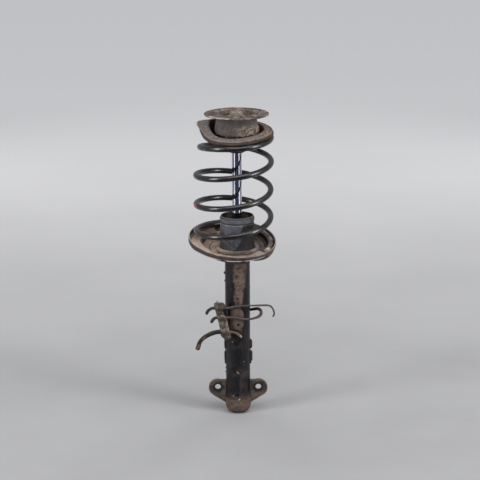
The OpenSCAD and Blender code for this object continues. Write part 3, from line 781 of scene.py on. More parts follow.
def bowl_dark(m):
    r = m.radius()
    k = m.ramp(r, 0.0590, 0.0612, 1.0, 0.0)
    return m.mul(k, 0.85), m.mix(lin("#1c1816"), lin("#2f2722"), m.noise(80, 4)), 0.9

M_plate = worn("plate_worn_paint", "#504d4d", "#625e5c", "#80766f", "#675c54", 0.44, 0.18, rust="#7f5230", rust_amt=0.3, edge="#8c8074", edge_amt=0.6, masks=(plate_pale, plate_rust, plate_dark, bowl_dark), bump=1.3, rough=0.55, vary=0.85)
M_pad = worn("pad_rubber_aged", "#30271f", "#3f332a", "#5c4b3d", "#4b3d32", 0.42, 0.2, rough=0.8, rust="#4a372a", rust_amt=0.5, bump=1.1, spec=0.25)
M_lowpad = worn("low_pad_rubber", "#2c2826", "#38322e", "#6a5b4d", "#7d6c5c", 0.46, 0.3, rough=0.7, bump=0.8, spec=0.3)

def strap_hollow_shade(m):
    # painted shade darkening the hollows of the strap, where pointiness is low
    k = m.ramp(m.point(), 0.49, 0.42)
    return m.mul(k, 0.7), lin("#241d19"), 0.9

def strap_pale_dust_and_highlight(m):
    # pale dust on the lower strap, partly a painted highlight on the faces turned to the front
    z = m.xyz()[2]
    k = m.mul(m.band(z, 0.203, 0.212, 0.226, 0.236), m.ramp(m.noise(80, 4, off=(5, 1, 7)), 0.42, 0.56), m.ramp(m.normal()[1], -0.5, -0.85))
    k = m.mx(k, m.mul(m.band(z, 0.240, 0.243, 0.248, 0.252), m.ramp(m.noise(110, 4, off=(1, 1, 7)), 0.45, 0.58)))
    return m.mul(k, 0.6), m.mix(lin("#8a7864"), lin("#a69179"), m.noise(200, 4)), 0.9

def strap_crease_shade(m):
    # painted shade: dark creases beside the clamped lines, standing in for their relief
    x, z = m.xyz()[0], m.xyz()[2]
    w = m.mul(m.math("SUBTRACT", m.noise(150, 4), 0.5), 0.010)
    zz = m.add(z, w)
    a = m.mx(m.band(zz, 0.2540, 0.2560, 0.2568, 0.2590), m.band(zz, 0.2440, 0.2455, 0.2462, 0.2480))
    a = m.mx(a, m.mul(m.band(zz, 0.2285, 0.2300, 0.2308, 0.2325), 0.8))
    a = m.mx(a, m.mul(m.band(zz, 0.2700, 0.2712, 0.2718, 0.2730), 0.7))
    a = m.mul(a, m.ramp(m.noise(90, 4, off=(3, 0, 3)), 0.40, 0.55))
    return m.mul(a, 0.8), lin("#15110f"), 0.9

# dirt on the strap, with painted shade in its hollows and creases
M_strap = worn("bracket_dirt_and_shade", "#201a16", "#2c241f", "#4a3d32", "#63543f", 0.48, 0.10, rust="#5f4029", rust_amt=0.3, edge="#9a876f", edge_amt=0.8, masks=(strap_pale_dust_and_highlight, strap_hollow_shade, strap_crease_shade), bump=1.3, rough=0.7, vary=0.8, ao_d=0.006, crevice_shade=0.9)

M_saddle = worn("saddle_dirt", "#2f2824", "#3a312a", "#5c4938", "#6c5743", 0.52, 0.1, rust="#5f4029", rust_amt=0.2, bump=1.0, rough=0.65)
M_dirt = worn("dried_dirt", "#8d7861", "#a18c74", "#7a6650", "#b09c84", 0.5, 0.2, bump=1.5, rough=0.9, spec=0.2)

def wire_ends(m):
    x = m.xyz()[0]
    k = m.mx(m.ramp(x, -0.0450, -0.0475), m.ramp(m.add(m.xyz()[1], m.mul(m.math("SUBTRACT", m.noise(120, 3), 0.5), 0.01)), -0.012, -0.004))
    return m.mul(k, 0.9), m.mix(lin("#171514"), lin("#24201d"), m.noise(200, 4)), 0.6

M_wire = worn("wire_rusty", "#2f2926", "#403733", "#5d5049", "#4e433c", 0.46, 0.3, rust="#6f4a31", rust_amt=0.4, masks=(wire_ends, chips), bump=0.9, rough=0.6)

def arm_tip(m):
    x = m.xyz()[0]
    k = m.mul(m.ramp(x, 0.0040, 0.0070), m.ramp(m.noise(150, 4), 0.4, 0.55))
    return m.mul(k, 0.8), lin("#b09a80"), 0.7

M_arm = worn("arm_rusty", "#3e352f", "#50443a", "#70604f", "#5c4d40", 0.55, 0.3, rust="#6f4a31", rust_amt=0.3, masks=(arm_tip,), bump=0.9, rough=0.6)

def hose_worn(m):
    # the outer skin is rubbed through to a rusty core low on the left
    x, y, z = m.xyz()[0], m.xyz()[1], m.xyz()[2]
    w = m.noise(130, 5, 0.65, off=(3, 3, 3))
    s = m.add(m.add(x, m.mul(z, -0.55)), m.mul(m.math("SUBTRACT", w, 0.5), 0.022))
    k = m.mul(m.band(s, -0.1850, -0.1834, -0.1790, -0.1768), m.ramp(y, -0.0325, -0.0350), m.ramp(z, 0.196, 0.188))
    return m.mul(k, 0.85), m.mix(lin("#7f5a46"), lin("#5f4234"), m.noise(220, 4)), 0.85

def hose_edge(m):
    k = m.ramp(m.add(m.mul(m.noise(140, 5, 0.7, off=(6, 6, 0)), 0.8), m.mul(m.noise(600, 2), 0.2)), 0.60, 0.66)
    return m.mul(k, 0.5), m.mix(lin("#5d4636"), lin("#463528"), m.noise(220, 4)), 0.9

M_hose = worn("hose_rubber_worn", "#171616", "#211e1d", "#463a31", "#372e28", 0.24, 0.15, rough=0.62, masks=(hose_edge, hose_worn), bump=0.8, spec=0.35)
M_nut = worn("fastener_dusty", "#544d48", "#6b625b", "#938779", "#a59a8c", 0.55, 0.2, rust="#7a5134", rust_amt=0.3, edge="#a89c8c", edge_amt=0.7, bump=0.9, rough=0.5)
M_cup = worn("cap_coated", "#242323", "#2d2b2b", "#4d4239", "#5a4c3f", 0.30, 0.4, bump=0.5, rough=0.5)
M_bump = worn("bump_stop_foam", "#2d2c29", "#383631", "#514a40", "#5b5246", 0.35, 0.2, bump=1.4, rough=0.85, spec=0.2)

def chrome():
    m = Mat("rod_hard_chrome")
    st = m.noise(900, 4, 0.6, stretch=(1, 1, 0.02))
    sp = m.noise(160, 4, 0.6)
    col = m.mix(lin("#c3c7d2"), lin("#a9aebb"), m.ramp(st, 0.35, 0.7))
    rg = m.add(m.ramp(st, 0.3, 0.7, 0.05, 0.10), m.mul(m.ramp(sp, 0.58, 0.72), 0.12))
    h = m.bump(st, 0.05, 0.0002)
    return m.done(col, rg, 1.0, h)

def metal(name, c, c2, rough, stretch=None, metal_=1.0, bump=0.15, sc=400):
    m = Mat(name)
    n1 = m.noise(sc, 4, 0.6, stretch=stretch)
    n2 = m.noise(40, 4, 0.6)
    col = m.mix(lin(c), lin(c2), m.add(m.mul(n1, 0.5), m.mul(n2, 0.5)))
    rg = m.ramp(n1, 0.3, 0.7, rough - 0.06, rough + 0.08)
    return m.done(col, rg, metal_, m.bump(n1, bump, 0.0003))

M_rod = chrome()
M_steel = metal("inner_drawn_steel", "#9a9a9c", "#7f7f82", 0.32, (1, 1, 0.05))
M_alloy = metal("guide_machined_alloy", "#a6a6aa", "#8d8d92", 0.30, (1, 1, 6))
M_brass = metal("valve_sintered_brass", "#a98745", "#8c6d36", 0.42)
M_race = worn("race_grimy_steel", "#1e1b19", "#2b2725", "#3a312b", "#2e2722", 0.5, 0.2, bump=0.5, rough=0.55, crevice_shade=0.4)
M_ball = metal("ball_polished_steel", "#c4c4c8", "#b0b0b6", 0.12)
M_sinter = metal("piston_sintered_steel", "#66676b", "#55565a", 0.5, bump=0.4)
M_seal = metal("seal_oiled_rubber", "#1d1d1d", "#2a2a2a", 0.4, metal_=0.0, bump=0.2)
M_band = metal("band_filled_polymer", "#262626", "#333333", 0.5, metal_=0.0)
M_cage = metal("cage_moulded_polymer", "#4a3e2b", "#3a3022", 0.5, metal_=0.0, bump=0.1)

# ------------------------------------------------------------------ CAD nodes that stay, with their own materials
def finish_node(n, mat, bevel=0.0, seg=2, angle=30):
    o = N[n]
    o.data.materials.clear()
    o.data.materials.append(mat)
    if bevel:
        b = o.modifiers.new("edge", "BEVEL")
        b.width = bevel * MM
        b.segments = seg
        b.limit_method = "ANGLE"
        b.angle_limit = math.radians(angle)
        b.harden_normals = False

for n, mt in {"pressure_tube": M_steel, "base_valve": M_brass, "rod_guide": M_alloy, "rod_seal": M_seal,
              "bearing_lower_race": M_race, "bearing_upper_race": M_race, "bearing_cage": M_cage, "bearing_balls": M_ball,
              "piston": M_sinter, "piston_band": M_band, "piston_shims": M_steel, "piston_nut": M_nut, "rebound_stop": M_seal,
              "shoulder_washer": M_steel, "mount_inner_sleeve": M_steel}.items():
    finish_node(n, mt)

# ------------------------------------------------------------------ tube and foot
def tube_warp(v, r, a, z):
    if r > 27:
        k = 0.10 * nz3(v.x, v.y, v.z, 0.02, 3) + 0.05 * nz3(v.x, v.y, v.z, 0.11, 5)
        # blind locating dimple on the front, low down
        dx, dz = v.x + 1.5, v.z - 46
        if v.y < 0:
            k -= 1.3 * (1 - sm((math.hypot(dx, dz) - 2.2) / 1.5))
        k += look(z, [(12, 0.0), (30, 0.1), (40, 0.4), (110, 0.55), (180, 0.8), (250, 1.1), (361, 1.1), (368, 0.0)])
        q = (r + k) / r
        return Vector((v.x * q, v.y * q, v.z))
    return v

tube = lathe("tube_shell", [(24.5, 12), (27.5, 12), (27.5, 440), (24.5, 440)], M_tube, "housing", seg=200, replaces=["strut_tube"], slot="tube_paint", r=0.6, step=1.6, warp=tube_warp)

def cap_warp(v, r, a, z):
    k = 0.35 * nz3(v.x, v.y, v.z, 0.05, 8) + 0.14 * nz3(v.x, v.y, v.z, 0.25, 2)
    if r > 14 and z < 34:
        q = (r + k * min(1, (r - 14) / 8)) / r
        return Vector((v.x * q, v.y * q, v.z))
    return v

lathe("base_cap_shell", [(0, 0), (13, 0), (19, 1.2), (24, 4.5), (27.6, 9.5), (29.3, 16), (29.3, 33), (28.2, 34.5), (27.5, 34.5), (27.5, 12), (24.5, 12), (21.5, 7.6), (16, 4.2), (0, 3)],
      M_cap, "housing", seg=160, replaces=["base_cap"], slot="cap_paint", r=1.6, step=1.5, warp=cap_warp, angle=60)

finish_node("knuckle_bracket", M_ears, 0.55, 3, 30)
finish_node("upper_knuckle_bracket", M_lug, 0.7, 3, 30)

def weld(name, pts, r, body="housing", seed=0.0, mat=None):
    Q = cr(pts, 7)
    L = len(Q)
    Q2 = []
    for i, q in enumerate(Q):
        j = 0.35 * nz3(i * 3.1, seed, 0, 0.37)
        Q2.append((q[0] + j, q[1] + j * 0.5, q[2] + j))
    def rad(t):
        return r * (0.80 + 0.14 * abs(math.sin(t * L * 0.85)) + 0.16 * noise.noise(Vector((t * L * 0.5, seed, 0)))) * min(1.0, 0.45 + 6 * min(t, 1 - t))
    return sweep(name, Q2, rad, mat or M_weld, body, n=12, bumps=0.3, seed=seed)

# fillet welds between ears and tube, front and back, both sides
for sx in (-1, 1):
    for sy in (-1, 1):
        xx = math.sqrt(28.0 ** 2 - 3.2 ** 2)
        weld("ear_weld_%s_%s" % ("l" if sx < 0 else "r", "f" if sy < 0 else "b"),
             [(sx * (xx + 0.4), sy * 3.2, 75), (sx * (xx + 0.5), sy * 3.4, 60), (sx * (xx + 0.5), sy * 3.4, 46), (sx * (xx + 0.6), sy * 3.3, 36)], 1.9, seed=sx * 3 + sy)
# seam where the cap meets the tube
ring = [(28.1 * math.cos(math.radians(a)), 28.1 * math.sin(math.radians(a)), 34.6) for a in range(0, 361, 12)]
weld("foot_seam_weld", [(28.3 * math.cos(math.radians(a)), 28.3 * math.sin(math.radians(a)), 34.4) for a in range(0, 361, 12)], 0.7, seed=4.2, mat=M_cap)
# welds of the upper bracket on the tube
for sx in (-1, 1):
    a = math.radians(-6.5 if sx > 0 else 186.5)
    for z0, z1 in ((118, 143), (155, 172.5)):
        weld("lug_weld_%s_%d" % ("l" if sx < 0 else "r", z0), [(28.6 * math.cos(a), 28.6 * math.sin(a), z0), (28.7 * math.cos(a), 28.7 * math.sin(a), (z0 + z1) / 2), (28.6 * math.cos(a), 28.6 * math.sin(a), z1)], 1.7, seed=z0 * 0.1 + sx)
# lips of the bracket that stand out at its right end
# small weld spatter on the left edge of the tube
for i, (ang, z, r) in enumerate([(184, 335.5, 3.3), (182, 316.4, 2.4), (178, 106, 1.3), (183, 96, 1.6), (180, 127, 1.2), (200, 222, 1.5), (352, 300, 1.1)]):
    a = math.radians(ang)
    c = Vector((28.3 * math.cos(a), 28.3 * math.sin(a), z))
    bm = bmesh.new()
    bmesh.ops.create_icosphere(bm, subdivisions=3, radius=r)
    vs = []
    for v in bm.verts:
        d = 1 + 0.25 * nz3(v.co.x, v.co.y, v.co.z, 0.9, i)
        vs.append(v.co * d + c)
    make("spatter_%d" % i, vs, [tuple(v.index for v in f.verts) for f in bm.faces], M_weld, "housing", merge=False, recalc=False)
    bm.free()

# ------------------------------------------------------------------ lower seat
PC = Vector((-11, 0, 415.8))
PR = Matrix.Rotation(math.radians(4), 4, "Y") @ Matrix.Rotation(math.radians(12), 4, "X")
PM = Matrix.Translation(PC) @ PR

def seat_d(a):
    a = (a + 180) % 360 - 180          # degrees, perch frame
    if a < -34: a += 360
    if a < -25.5:
        return lerp(6, 17, sm((a + 34) / 8.5))
    if a <= 118:
        return 17
    return lerp(17, 6, sm((a - 118) / 95))

def seat_db(a):
    # the underside swells out to the deep part of the seat more slowly
    a = (a + 180) % 360 - 180
    return lerp(6, 17, sm((a + 80) / 48)) if -80 < a < -25 else seat_d(a)

def seat_section(a):
    d = seat_d(a)
    g = max(d, seat_db(a))
    w = 0.5 * nz3(100 * math.cos(math.radians(a)), 100 * math.sin(math.radians(a)), 0, 0.03, 1)
    w2 = 0.35 * nz3(100 * math.cos(math.radians(a)), 100 * math.sin(math.radians(a)), 9, 0.09, 6)
    top = [(31, -23.2), (50, -23.2), (60, -23.6), (66.5, -23.0), (69.2, -d - (17 - d) * 0.0 - min(3.5, (23.2 - d) * 0.4)), (71.0, -d - 0.9), (73.2, -d + 0.5), (76, -d + 0.15), (83, -d - 0.3), (90, -d + 0.1), (93.4, -d + 1.3),
           (95.6, -d + 3.4), (96.6, min(-d + 5.5, -2.2)), (97.1, -1.5), (97.9, -0.35), (98.9, 0.0), (99.7, -0.5), (100.0, -1.7)]
    bot = [(100.0, -6.6), (99.5, -7.5), (98.7, -7.6), (98.1, min(-7.0, -g * 0.55)), (96.4, -g - 1.0), (93.6, -g - 2.2), (84, -g - 2.8), (75.0, -g - 2.6), (72.6, -g - 3.6), (71.2, -26.2 + (17 - d) * 0.06), (69, -26.4), (60, -26.4), (31, -26.0)]
    # the turned-up rim stands taller at the left and the front
    lift = 3.4 * sm(1 - abs(((a - 225 + 180) % 360) - 180) / 120.0) + 0.2
    out = [(r + (w2 if r > 95 else 0), z + (w if r > 60 else 0) * 0.6 + lift * sm((r - 94.5) / 3.5)) for r, z in top]
    out += [(r + (w2 if r > 95 else 0), z + (w if r > 60 else 0) * 0.6 - (1.6 * sm((r - 97.0) / 1.5) * lift / 3.6)) for r, z in bot]
    return out

def seat_mesh():
    n = 240
    V, F = [], []
    S = [seat_section(360 * i / n) for i in range(n)]
    k = len(S[0])
    for i in range(n):
        a = 2 * pi * i / n
        for r, z in S[i]:
            p = PM @ Vector((r * math.cos(a), r * math.sin(a), z))
            # the sleeve and the tube are cut out of the dish after it is made
            V.append(p)
    for i in range(n):
        i2 = (i + 1) % n
        for j in range(k):
            j2 = (j + 1) % k
            F.append((i * k + j, i2 * k + j, i2 * k + j2, i * k + j2))
    return V, F

V, F = seat_mesh()
perch = make("seat_dish", V, F, M_perch, "housing", ["lower_spring_perch"], "perch_paint", angle=50)
cut(perch, [cutter(41.2, (0, 0, 396.6), (0, 0, 440), 96), cutter(27.6, (0, 0, 350), (0, 0, 440), 96)])
perch.data.materials.clear(); perch.data.materials.append(M_perch)

def neck_warp(v, r, a, z):
    if r > 31:
        q = (r + 0.3 * nz3(v.x, v.y, v.z, 0.06, 4)) / r
        return Vector((v.x * q, v.y * q, v.z + 0.2 * nz3(v.x, v.y, v.z, 0.1, 2)))
    return v

lathe("seat_neck", [(27.55, 364), (30.6, 364), (31.6, 368), (34, 374), (40, 378.4), (46.6, 379.6), (49.6, 383), (50, 391), (48, 395.4), (44.4, 396.9), (27.55, 396.9)],
      M_perch, "housing", seg=160, slot="perch_paint", r=1.4, step=1.5, warp=neck_warp, angle=60)
neckring = [(31.2 * math.cos(math.radians(a)), 31.2 * math.sin(math.radians(a)), 364.6) for a in range(0, 361, 12)]
weld("seat_neck_weld", [(28.9 * math.cos(math.radians(a)), 28.9 * math.sin(math.radians(a)), 364.2) for a in range(0, 361, 12)], 1.7, seed=9.1)

# lower pad under the last turn
def pad_pt(r, a, z):
    return PM @ Vector((r * math.cos(a), r * math.sin(a), z))
V, F = [], []
sec = fillet([(75, -16.7), (75, -14.0), (78, -13.1), (90, -13.1), (92, -14.2), (92, -16.7)], 0.8, 3)
n = 110
for i in range(n + 1):
    a = math.radians(-24.5 + 142 * i / n)
    for r, z in sec:
        w = 0.22 * nz3(r * math.cos(a), r * math.sin(a), z, 0.12, 3)
        V.append(pad_pt(r + w, a, z + (w if z > -16 else 0)))
k = len(sec)
for i in range(n):
    for j in range(k):
        j2 = (j + 1) % k
        F.append((i * k + j, i * k + j2, (i + 1) * k + j2, (i + 1) * k + j))
F.append(tuple(range(k))); F.append(tuple(reversed(range(n * k, n * k + k))))
make("seat_pad_strip", V, F, M_lowpad, "housing", ["lower_spring_pad"], "pad_rubber")

# ------------------------------------------------------------------ dust sleeve and tube cap
def sleeve_warp(v, r, a, z):
    k = 0.28 * nz3(v.x, v.y, v.z, 0.03, 7) + 0.10 * nz3(v.x, v.y, v.z, 0.12, 4)
    if z > 466:
        k += 0.5 * nz3(v.x, v.y, 0, 0.08, 12)
    q = (r + k) / r
    return Vector((v.x * q, v.y * q, v.z + (0.5 * nz3(v.x, v.y, 0, 0.07, 2) if z > 466 else 0)))

lathe("sleeve_shell", [(36.8, 397.1), (40.2, 397.1), (40.3, 399.6), (39.2, 402.2), (38.9, 405), (38.7, 440), (38.9, 453.2), (38.1, 455.2), (38.0, 457.8), (39.4, 459.6), (39.7, 462.5), (39.3, 466.2), (37.9, 468.4),
                       (37.6, 470.2), (36.4, 471.2), (34.6, 471.2), (34.0, 470.2), (34.6, 469.2), (36.2, 468.2), (36.8, 465)],
      M_sleeve, "housing", seg=180, replaces=["dust_sleeve"], slot="sleeve_plastic", r=0.9, step=1.6, warp=sleeve_warp, angle=60)
lathe("tube_cap_shell", [(12, 440.1), (27.5, 440.1), (27.5, 425), (29.5, 425), (29.5, 444.5), (28, 446), (12, 446)], M_cup, "housing", seg=96, replaces=["tube_end_cap"], slot="cap_steel", r=0.8)

# ------------------------------------------------------------------ coil spring
def flange_z(a):
    return look(a, [(195, 651.5), (230, 652), (270, 653), (360, 664), (450, 675), (504, 679), (525, 681), (543, 667), (555, 651.5)])

def seat_z(x, y, h):
    return 415.8 + (h - 0.0682 * (x + 11) + 0.2079 * y) / 0.9758

def coil_raw(u):
    a = 2 * pi * (u + 0.5)
    R = lerp(84.5, 79.5, sm((u - 2.4) / 0.8))
    x = lerp(-8, -2, sm((u - 2.2) / 1.0)) + R * math.cos(a)
    y = R * math.sin(a)
    lean = look(u, [(-0.3, 9), (0.25, 8), (1, 5), (2, 4), (3, 1), (3.4, 0)])
    base = look(u, [(-0.5, 405.5), (0, 437), (0.5, 467.5), (1, 497), (1.5, 530.5), (2, 564.5), (2.5, 594.5), (3, 628.3), (3.5, 660)])
    free = base + R * math.sin(a) * math.tan(math.radians(lean))
    low = seat_z(x, y, -6.2)
    top = flange_z(max(195, 180 + 360 * (u - 3))) - 14.2
    return Vector((x, y, lerp(lerp(low, free, sm((u + 0.30) / 0.35)), top, sm((u - 2.95) / 0.35))))

def coil_pt(u):
    # a little smoothing of the height along the turn
    p = coil_raw(u)
    if -0.2 < u < 3.2:
        p.z = sum(coil_raw(u + d).z * w for d, w in ((-0.10, 0.12), (-0.05, 0.22), (0, 0.32), (0.05, 0.22), (0.10, 0.12))) \
            + (lerp(0, 0, 0))
    return p

WR = 6.5
def coil_piece(name, u0, u1, body, caps=(True, True), extra=None):
    n = max(8, int((u1 - u0) * 84))
    Q = [coil_pt(lerp(u0, u1, i / n)) for i in range(n + 1)]
    return Q

def coil_rings(Q, tan0, tan1, cap0, cap1, n=28):
    L = len(Q)
    V, F, R = [], [], []
    def ring(c, t, r):
        s = t.cross(Vector((0, 0, 1))).normalized()
        u = s.cross(t)
        R.append(len(V))
        for j in range(n):
            a = 2 * pi * j / n
            d = math.cos(a) * s + math.sin(a) * u
            p = c + d * r
            w = 0.07 * nz3(p.x, p.y, p.z, 0.12, 3) + 0.05 * nz3(p.x, p.y, p.z, 0.4, 6)
            V.append(c + d * (r + (w if r > WR - 0.01 else 0)))
    T = []
    for i in range(L):
        if i == 0: t = tan0
        elif i == L - 1: t = tan1
        else: t = (Q[i + 1] - Q[i - 1]).normalized()
        T.append(t)
    if cap0:
        ring(Q[0], T[0], WR * 0.55); ring(Q[0], T[0], WR * 0.9); ring(Q[0] + T[0] * 0.35, T[0], WR * 0.975)
    for i in range(L):
        c = Q[i] + (T[0] * 1.0 if (i == 0 and cap0) else Vector()) - (T[-1] * 1.0 if (i == L - 1 and cap1) else Vector())
        ring(c, T[i], WR)
    if cap1:
        ring(Q[-1] - T[-1] * 0.35, T[-1], WR * 0.975); ring(Q[-1], T[-1], WR * 0.9); ring(Q[-1], T[-1], WR * 0.55)
    for a in range(len(R) - 1):
        for j in range(n):
            k = (j + 1) % n
            F.append((R[a] + j, R[a] + k, R[a + 1] + k, R[a + 1] + j))
    F.append(tuple(reversed(range(R[0], R[0] + n)))); F.append(tuple(range(R[-1], R[-1] + n)))
    return V, F

def tang(u):
    return (coil_pt(u + 0.004) - coil_pt(u - 0.004)).normalized()

US = (-0.58, 0.0, 3.20, 3.9)
for nm, a, b, body in (("coil_lower_end", US[0], US[1], "housing"), ("coil_upper_end", US[2], US[3], "upper_seat")):
    Q = coil_piece(nm, a, b, body)
    V, F = coil_rings(Q, tang(a + 0.004), tang(b - 0.004), nm == "coil_lower_end", nm == "coil_upper_end")
    make(nm, V, F, M_coil, body, ["coil_spring"] if nm == "coil_lower_end" else (), "spring_paint", angle=60, merge=False)
# the working turns are kept as a line with a round section swept along it, so the wire stays round when the spring shortens
Q = coil_piece("coil_turns", US[1], US[2], "housing")
me = bpy.data.meshes.new("coil_turns")
me.from_pydata([tuple(q * MM) for q in Q], [(i, i + 1) for i in range(len(Q) - 1)], [])
turns = bpy.data.objects.new("coil_turns", me)
scene.collection.objects.link(turns)
me.materials.append(M_coil)
ng = bpy.data.node_groups.new("wire_section", "GeometryNodeTree")
ng.interface.new_socket("Geometry", in_out="INPUT", socket_type="NodeSocketGeometry")
ng.interface.new_socket("Geometry", in_out="OUTPUT", socket_type="NodeSocketGeometry")
gi, go = ng.nodes.new("NodeGroupInput"), ng.nodes.new("NodeGroupOutput")
m2c = ng.nodes.new("GeometryNodeMeshToCurve")
cc = ng.nodes.new("GeometryNodeCurvePrimitiveCircle")
cc.inputs["Resolution"].default_value = 30
cc.inputs["Radius"].default_value = WR * MM
c2m = ng.nodes.new("GeometryNodeCurveToMesh")
c2m.inputs["Fill Caps"].default_value = True
shd = ng.nodes.new("GeometryNodeSetShadeSmooth")
stm = ng.nodes.new("GeometryNodeSetMaterial")
stm.inputs["Material"].default_value = M_coil
ng.links.new(gi.outputs[0], m2c.inputs["Mesh"])
ng.links.new(m2c.outputs[0], c2m.inputs["Curve"])
ng.links.new(cc.outputs[0], c2m.inputs["Profile Curve"])
ng.links.new(c2m.outputs[0], shd.inputs["Geometry"])
ng.links.new(shd.outputs[0], stm.inputs["Geometry"])
ng.links.new(stm.outputs[0], go.inputs[0])
md = turns.modifiers.new("section", "NODES")
md.node_group = ng
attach(turns, "housing")
z0, z1 = Q[0].z, Q[-1].z
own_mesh(turns)

# ------------------------------------------------------------------ upper seat
def wrapd(a):
    return a + 360 if a < 195 else a

def plate_z(a):
    a = a - 360 if a > 555 else a + 360 if a < 195 else a
    return look(a, [(195, 669), (208, 661.5), (222, 656), (236, 653.2), (250, 652.5), (270, 653), (360, 664), (450, 675), (504, 679), (525, 681), (543, 675), (555, 669)])

def flange_s(a):
    # height rule with soft corners at the end of the ramp
    return sum(plate_z(a + d) * w for d, w in ((-5, 0.2), (-2.5, 0.2), (0, 0.2), (2.5, 0.2), (5, 0.2)))

def plate_section(i, n):
    a = wrapd(360 * i / n)
    ca, sa = math.cos(math.radians(a)), math.sin(math.radians(a))
    f = flange_s(a)
    R = 82 + 9.5 * sm(1 - abs(a - 528) / 30)
    w = 0.55 * nz3(80 * ca, 80 * sa, 0, 0.035, 5) + 0.35 * nz3(80 * ca, 80 * sa, 3, 0.1, 9)
    wr = 0.5 * nz3(80 * ca, 80 * sa, 7, 0.06, 2) + 0.35 * nz3(80 * ca, 80 * sa, 1, 0.16, 3)
    R = min(R + wr - 0.4, R)
    t = f + 3
    return [(60.5, 645.2), (62.4, 645.6), (63.4, 647.0), (63.5, f - 1.2), (64.3, f - 0.1), (70, f + w * 0.3), (R - 2.2, f + w * 0.5), (R - 0.5, f + 0.35 + w * 0.5), (R, f + 1.4 + w * 0.5), (R - 0.4, f + 2.5 + w * 0.5),
            (R - 1.6, f + 3.7 + w * 0.6), (R - 3.4, t + 0.9 + w * 0.6), (77.2, t - 0.2 + w), (72, t + 0.5 + w), (67, t + 2.4 + w * 0.7), (63.8, t + 3.8 + w * 0.5), (61.6, t + 3.2), (60.6, t - 3.0), (60.5, 649)]

band("spring_plate_flange", [plate_section(i, 288) for i in range(288)], M_plate, "upper_seat", ["upper_spring_plate"], "plate_paint", angle=50)
lathe("spring_plate_floor", [(26, 645), (61, 645), (61.2, 646.2), (60.6, 648), (26, 648)], M_plate, "upper_seat", seg=128, slot="plate_paint", r=0.7, step=3)

def pad_section(i, n):
    a = wrapd(360 * i / n)
    ca, sa = math.cos(math.radians(a)), math.sin(math.radians(a))
    f = flange_s(a)
    th = lerp(4, 7, sm((a - 195) / 12)) if a < 400 else lerp(7, 4.5, sm((a - 520) / 20))
    w = 0.45 * nz3(80 * ca, 80 * sa, 0, 0.07, 15) + 0.3 * nz3(80 * ca, 80 * sa, 0, 0.2, 8)
    return [(66, f - th), (80, f - th + 0.1), (82.6 + w, f - th + 0.9), (83.6 + w, f - th * 0.6), (83.4 + w, f - 1.6), (82.4 + w, f - 0.15), (66, f - 0.05), (65, f - 1.0), (65, f - th + 1.0)]

band("spring_plate_pad", [pad_section(i, 288) for i in range(288)], M_pad, "upper_seat", ["upper_spring_pad"], "top_pad_rubber", angle=55)

# ------------------------------------------------------------------ rod and mount
lathe("rod_chromed", [(0, 255), (6, 255), (6, 285), (11, 285), (11, 661.6), (7.5, 661.9), (0, 661.9)], M_rod, "rod_mount", seg=96, slot="rod_chrome", replaces=["piston_rod"], r=0.5, nf=3)
lathe("rod_stud", [(0, 662), (7, 662), (7, 711), (3.4, 711), (3.4, 705.5), (0, 705.5)], M_nut, "rod_mount", seg=72, slot="rod_chrome", r=0.6, step=1.0, warp=lambda v, r, a, z: Vector((v.x * (1 + 0.02 * math.cos(2 * pi * z / 1.5)), v.y * (1 + 0.02 * math.cos(2 * pi * z / 1.5)), v.z)) if 663 < z < 709 and r > 6 else v)
lathe("bump_stop_foam", [(11.1, 617), (16.6, 617), (19.4, 619.2), (20.6, 624), (20.0, 628.4), (17.2, 631), (17.2, 633), (21.4, 636.4), (23, 641), (22.9, 646), (21.2, 649.6), (21.2, 652), (23, 655), (23, 662), (11.1, 662)],
      M_bump, "rod_mount", seg=112, replaces=["bump_stop"], slot="bump_foam", r=1.6, step=2, warp=lambda v, r, a, z: Vector((v.x * (1 + 0.012 * nz3(v.x, v.y, v.z, 0.12, 1)), v.y * (1 + 0.012 * nz3(v.x, v.y, v.z, 0.12, 1)), v.z)), angle=70)

def hub_warp(v, r, a, z):
    if r < 40:
        return v
    k = 0.30 * nz3(v.x, v.y, v.z, 0.06, 7) + 0.20 * nz3(v.x, v.y, v.z, 0.22, 3)
    # crusted dirt low on the right front
    c = math.cos(a + math.radians(50))
    crust = sm((c - 0.1) / 0.7) * sm((686 - z) / 14)
    k += crust * (0.9 * max(0, nz3(v.x, v.y, v.z, 0.28, 5)) + 0.6 * max(0, nz3(v.x, v.y, v.z, 0.6, 1)))
    q = (r + k) / r
    return Vector((v.x * q, v.y * q, v.z + (1.5 * nz3(v.x, v.y, 0, 0.10, 6) + 0.8 * nz3(v.x, v.y, 0, 0.35, 2) if z < 664 else 0)))

lathe("mount_hub_rubber", [(14, 667.1), (46.6, 667.1), (46.9, 661.2), (48.6, 660.6), (50.0, 662.4), (50.4, 666), (50.2, 670), (49.2, 675), (47.6, 681.5), (46.4, 688), (45.9, 694), (45.6, 700), (44.6, 702.4), (41, 702.4), (31, 692.5), (24.6, 692.5), (22, 690), (14, 690)],
      M_hub, "rod_mount", seg=260, replaces=["mount_rubber_hub"], slot="hub_rubber", r=1.2, step=0.9, warp=hub_warp, angle=70)

def disc_warp(v, r, a, z):
    if r > 40:
        t = (r - 40) / 33
        dz = 0.45 * t * nz3(70 * math.cos(a), 70 * math.sin(a), 0, 0.03, 4) + 0.12 * nz3(v.x, v.y, 0, 0.15, 3) * (1 if z > 704 else 0.4)
        k = -0.5 * t * abs(nz3(70 * math.cos(a), 70 * math.sin(a), 0, 0.09, 11)) if r > 69 else 0
        q = (r + k) / r
        return Vector((v.x * q, v.y * q, v.z + min(dz, 0.25)))
    return v

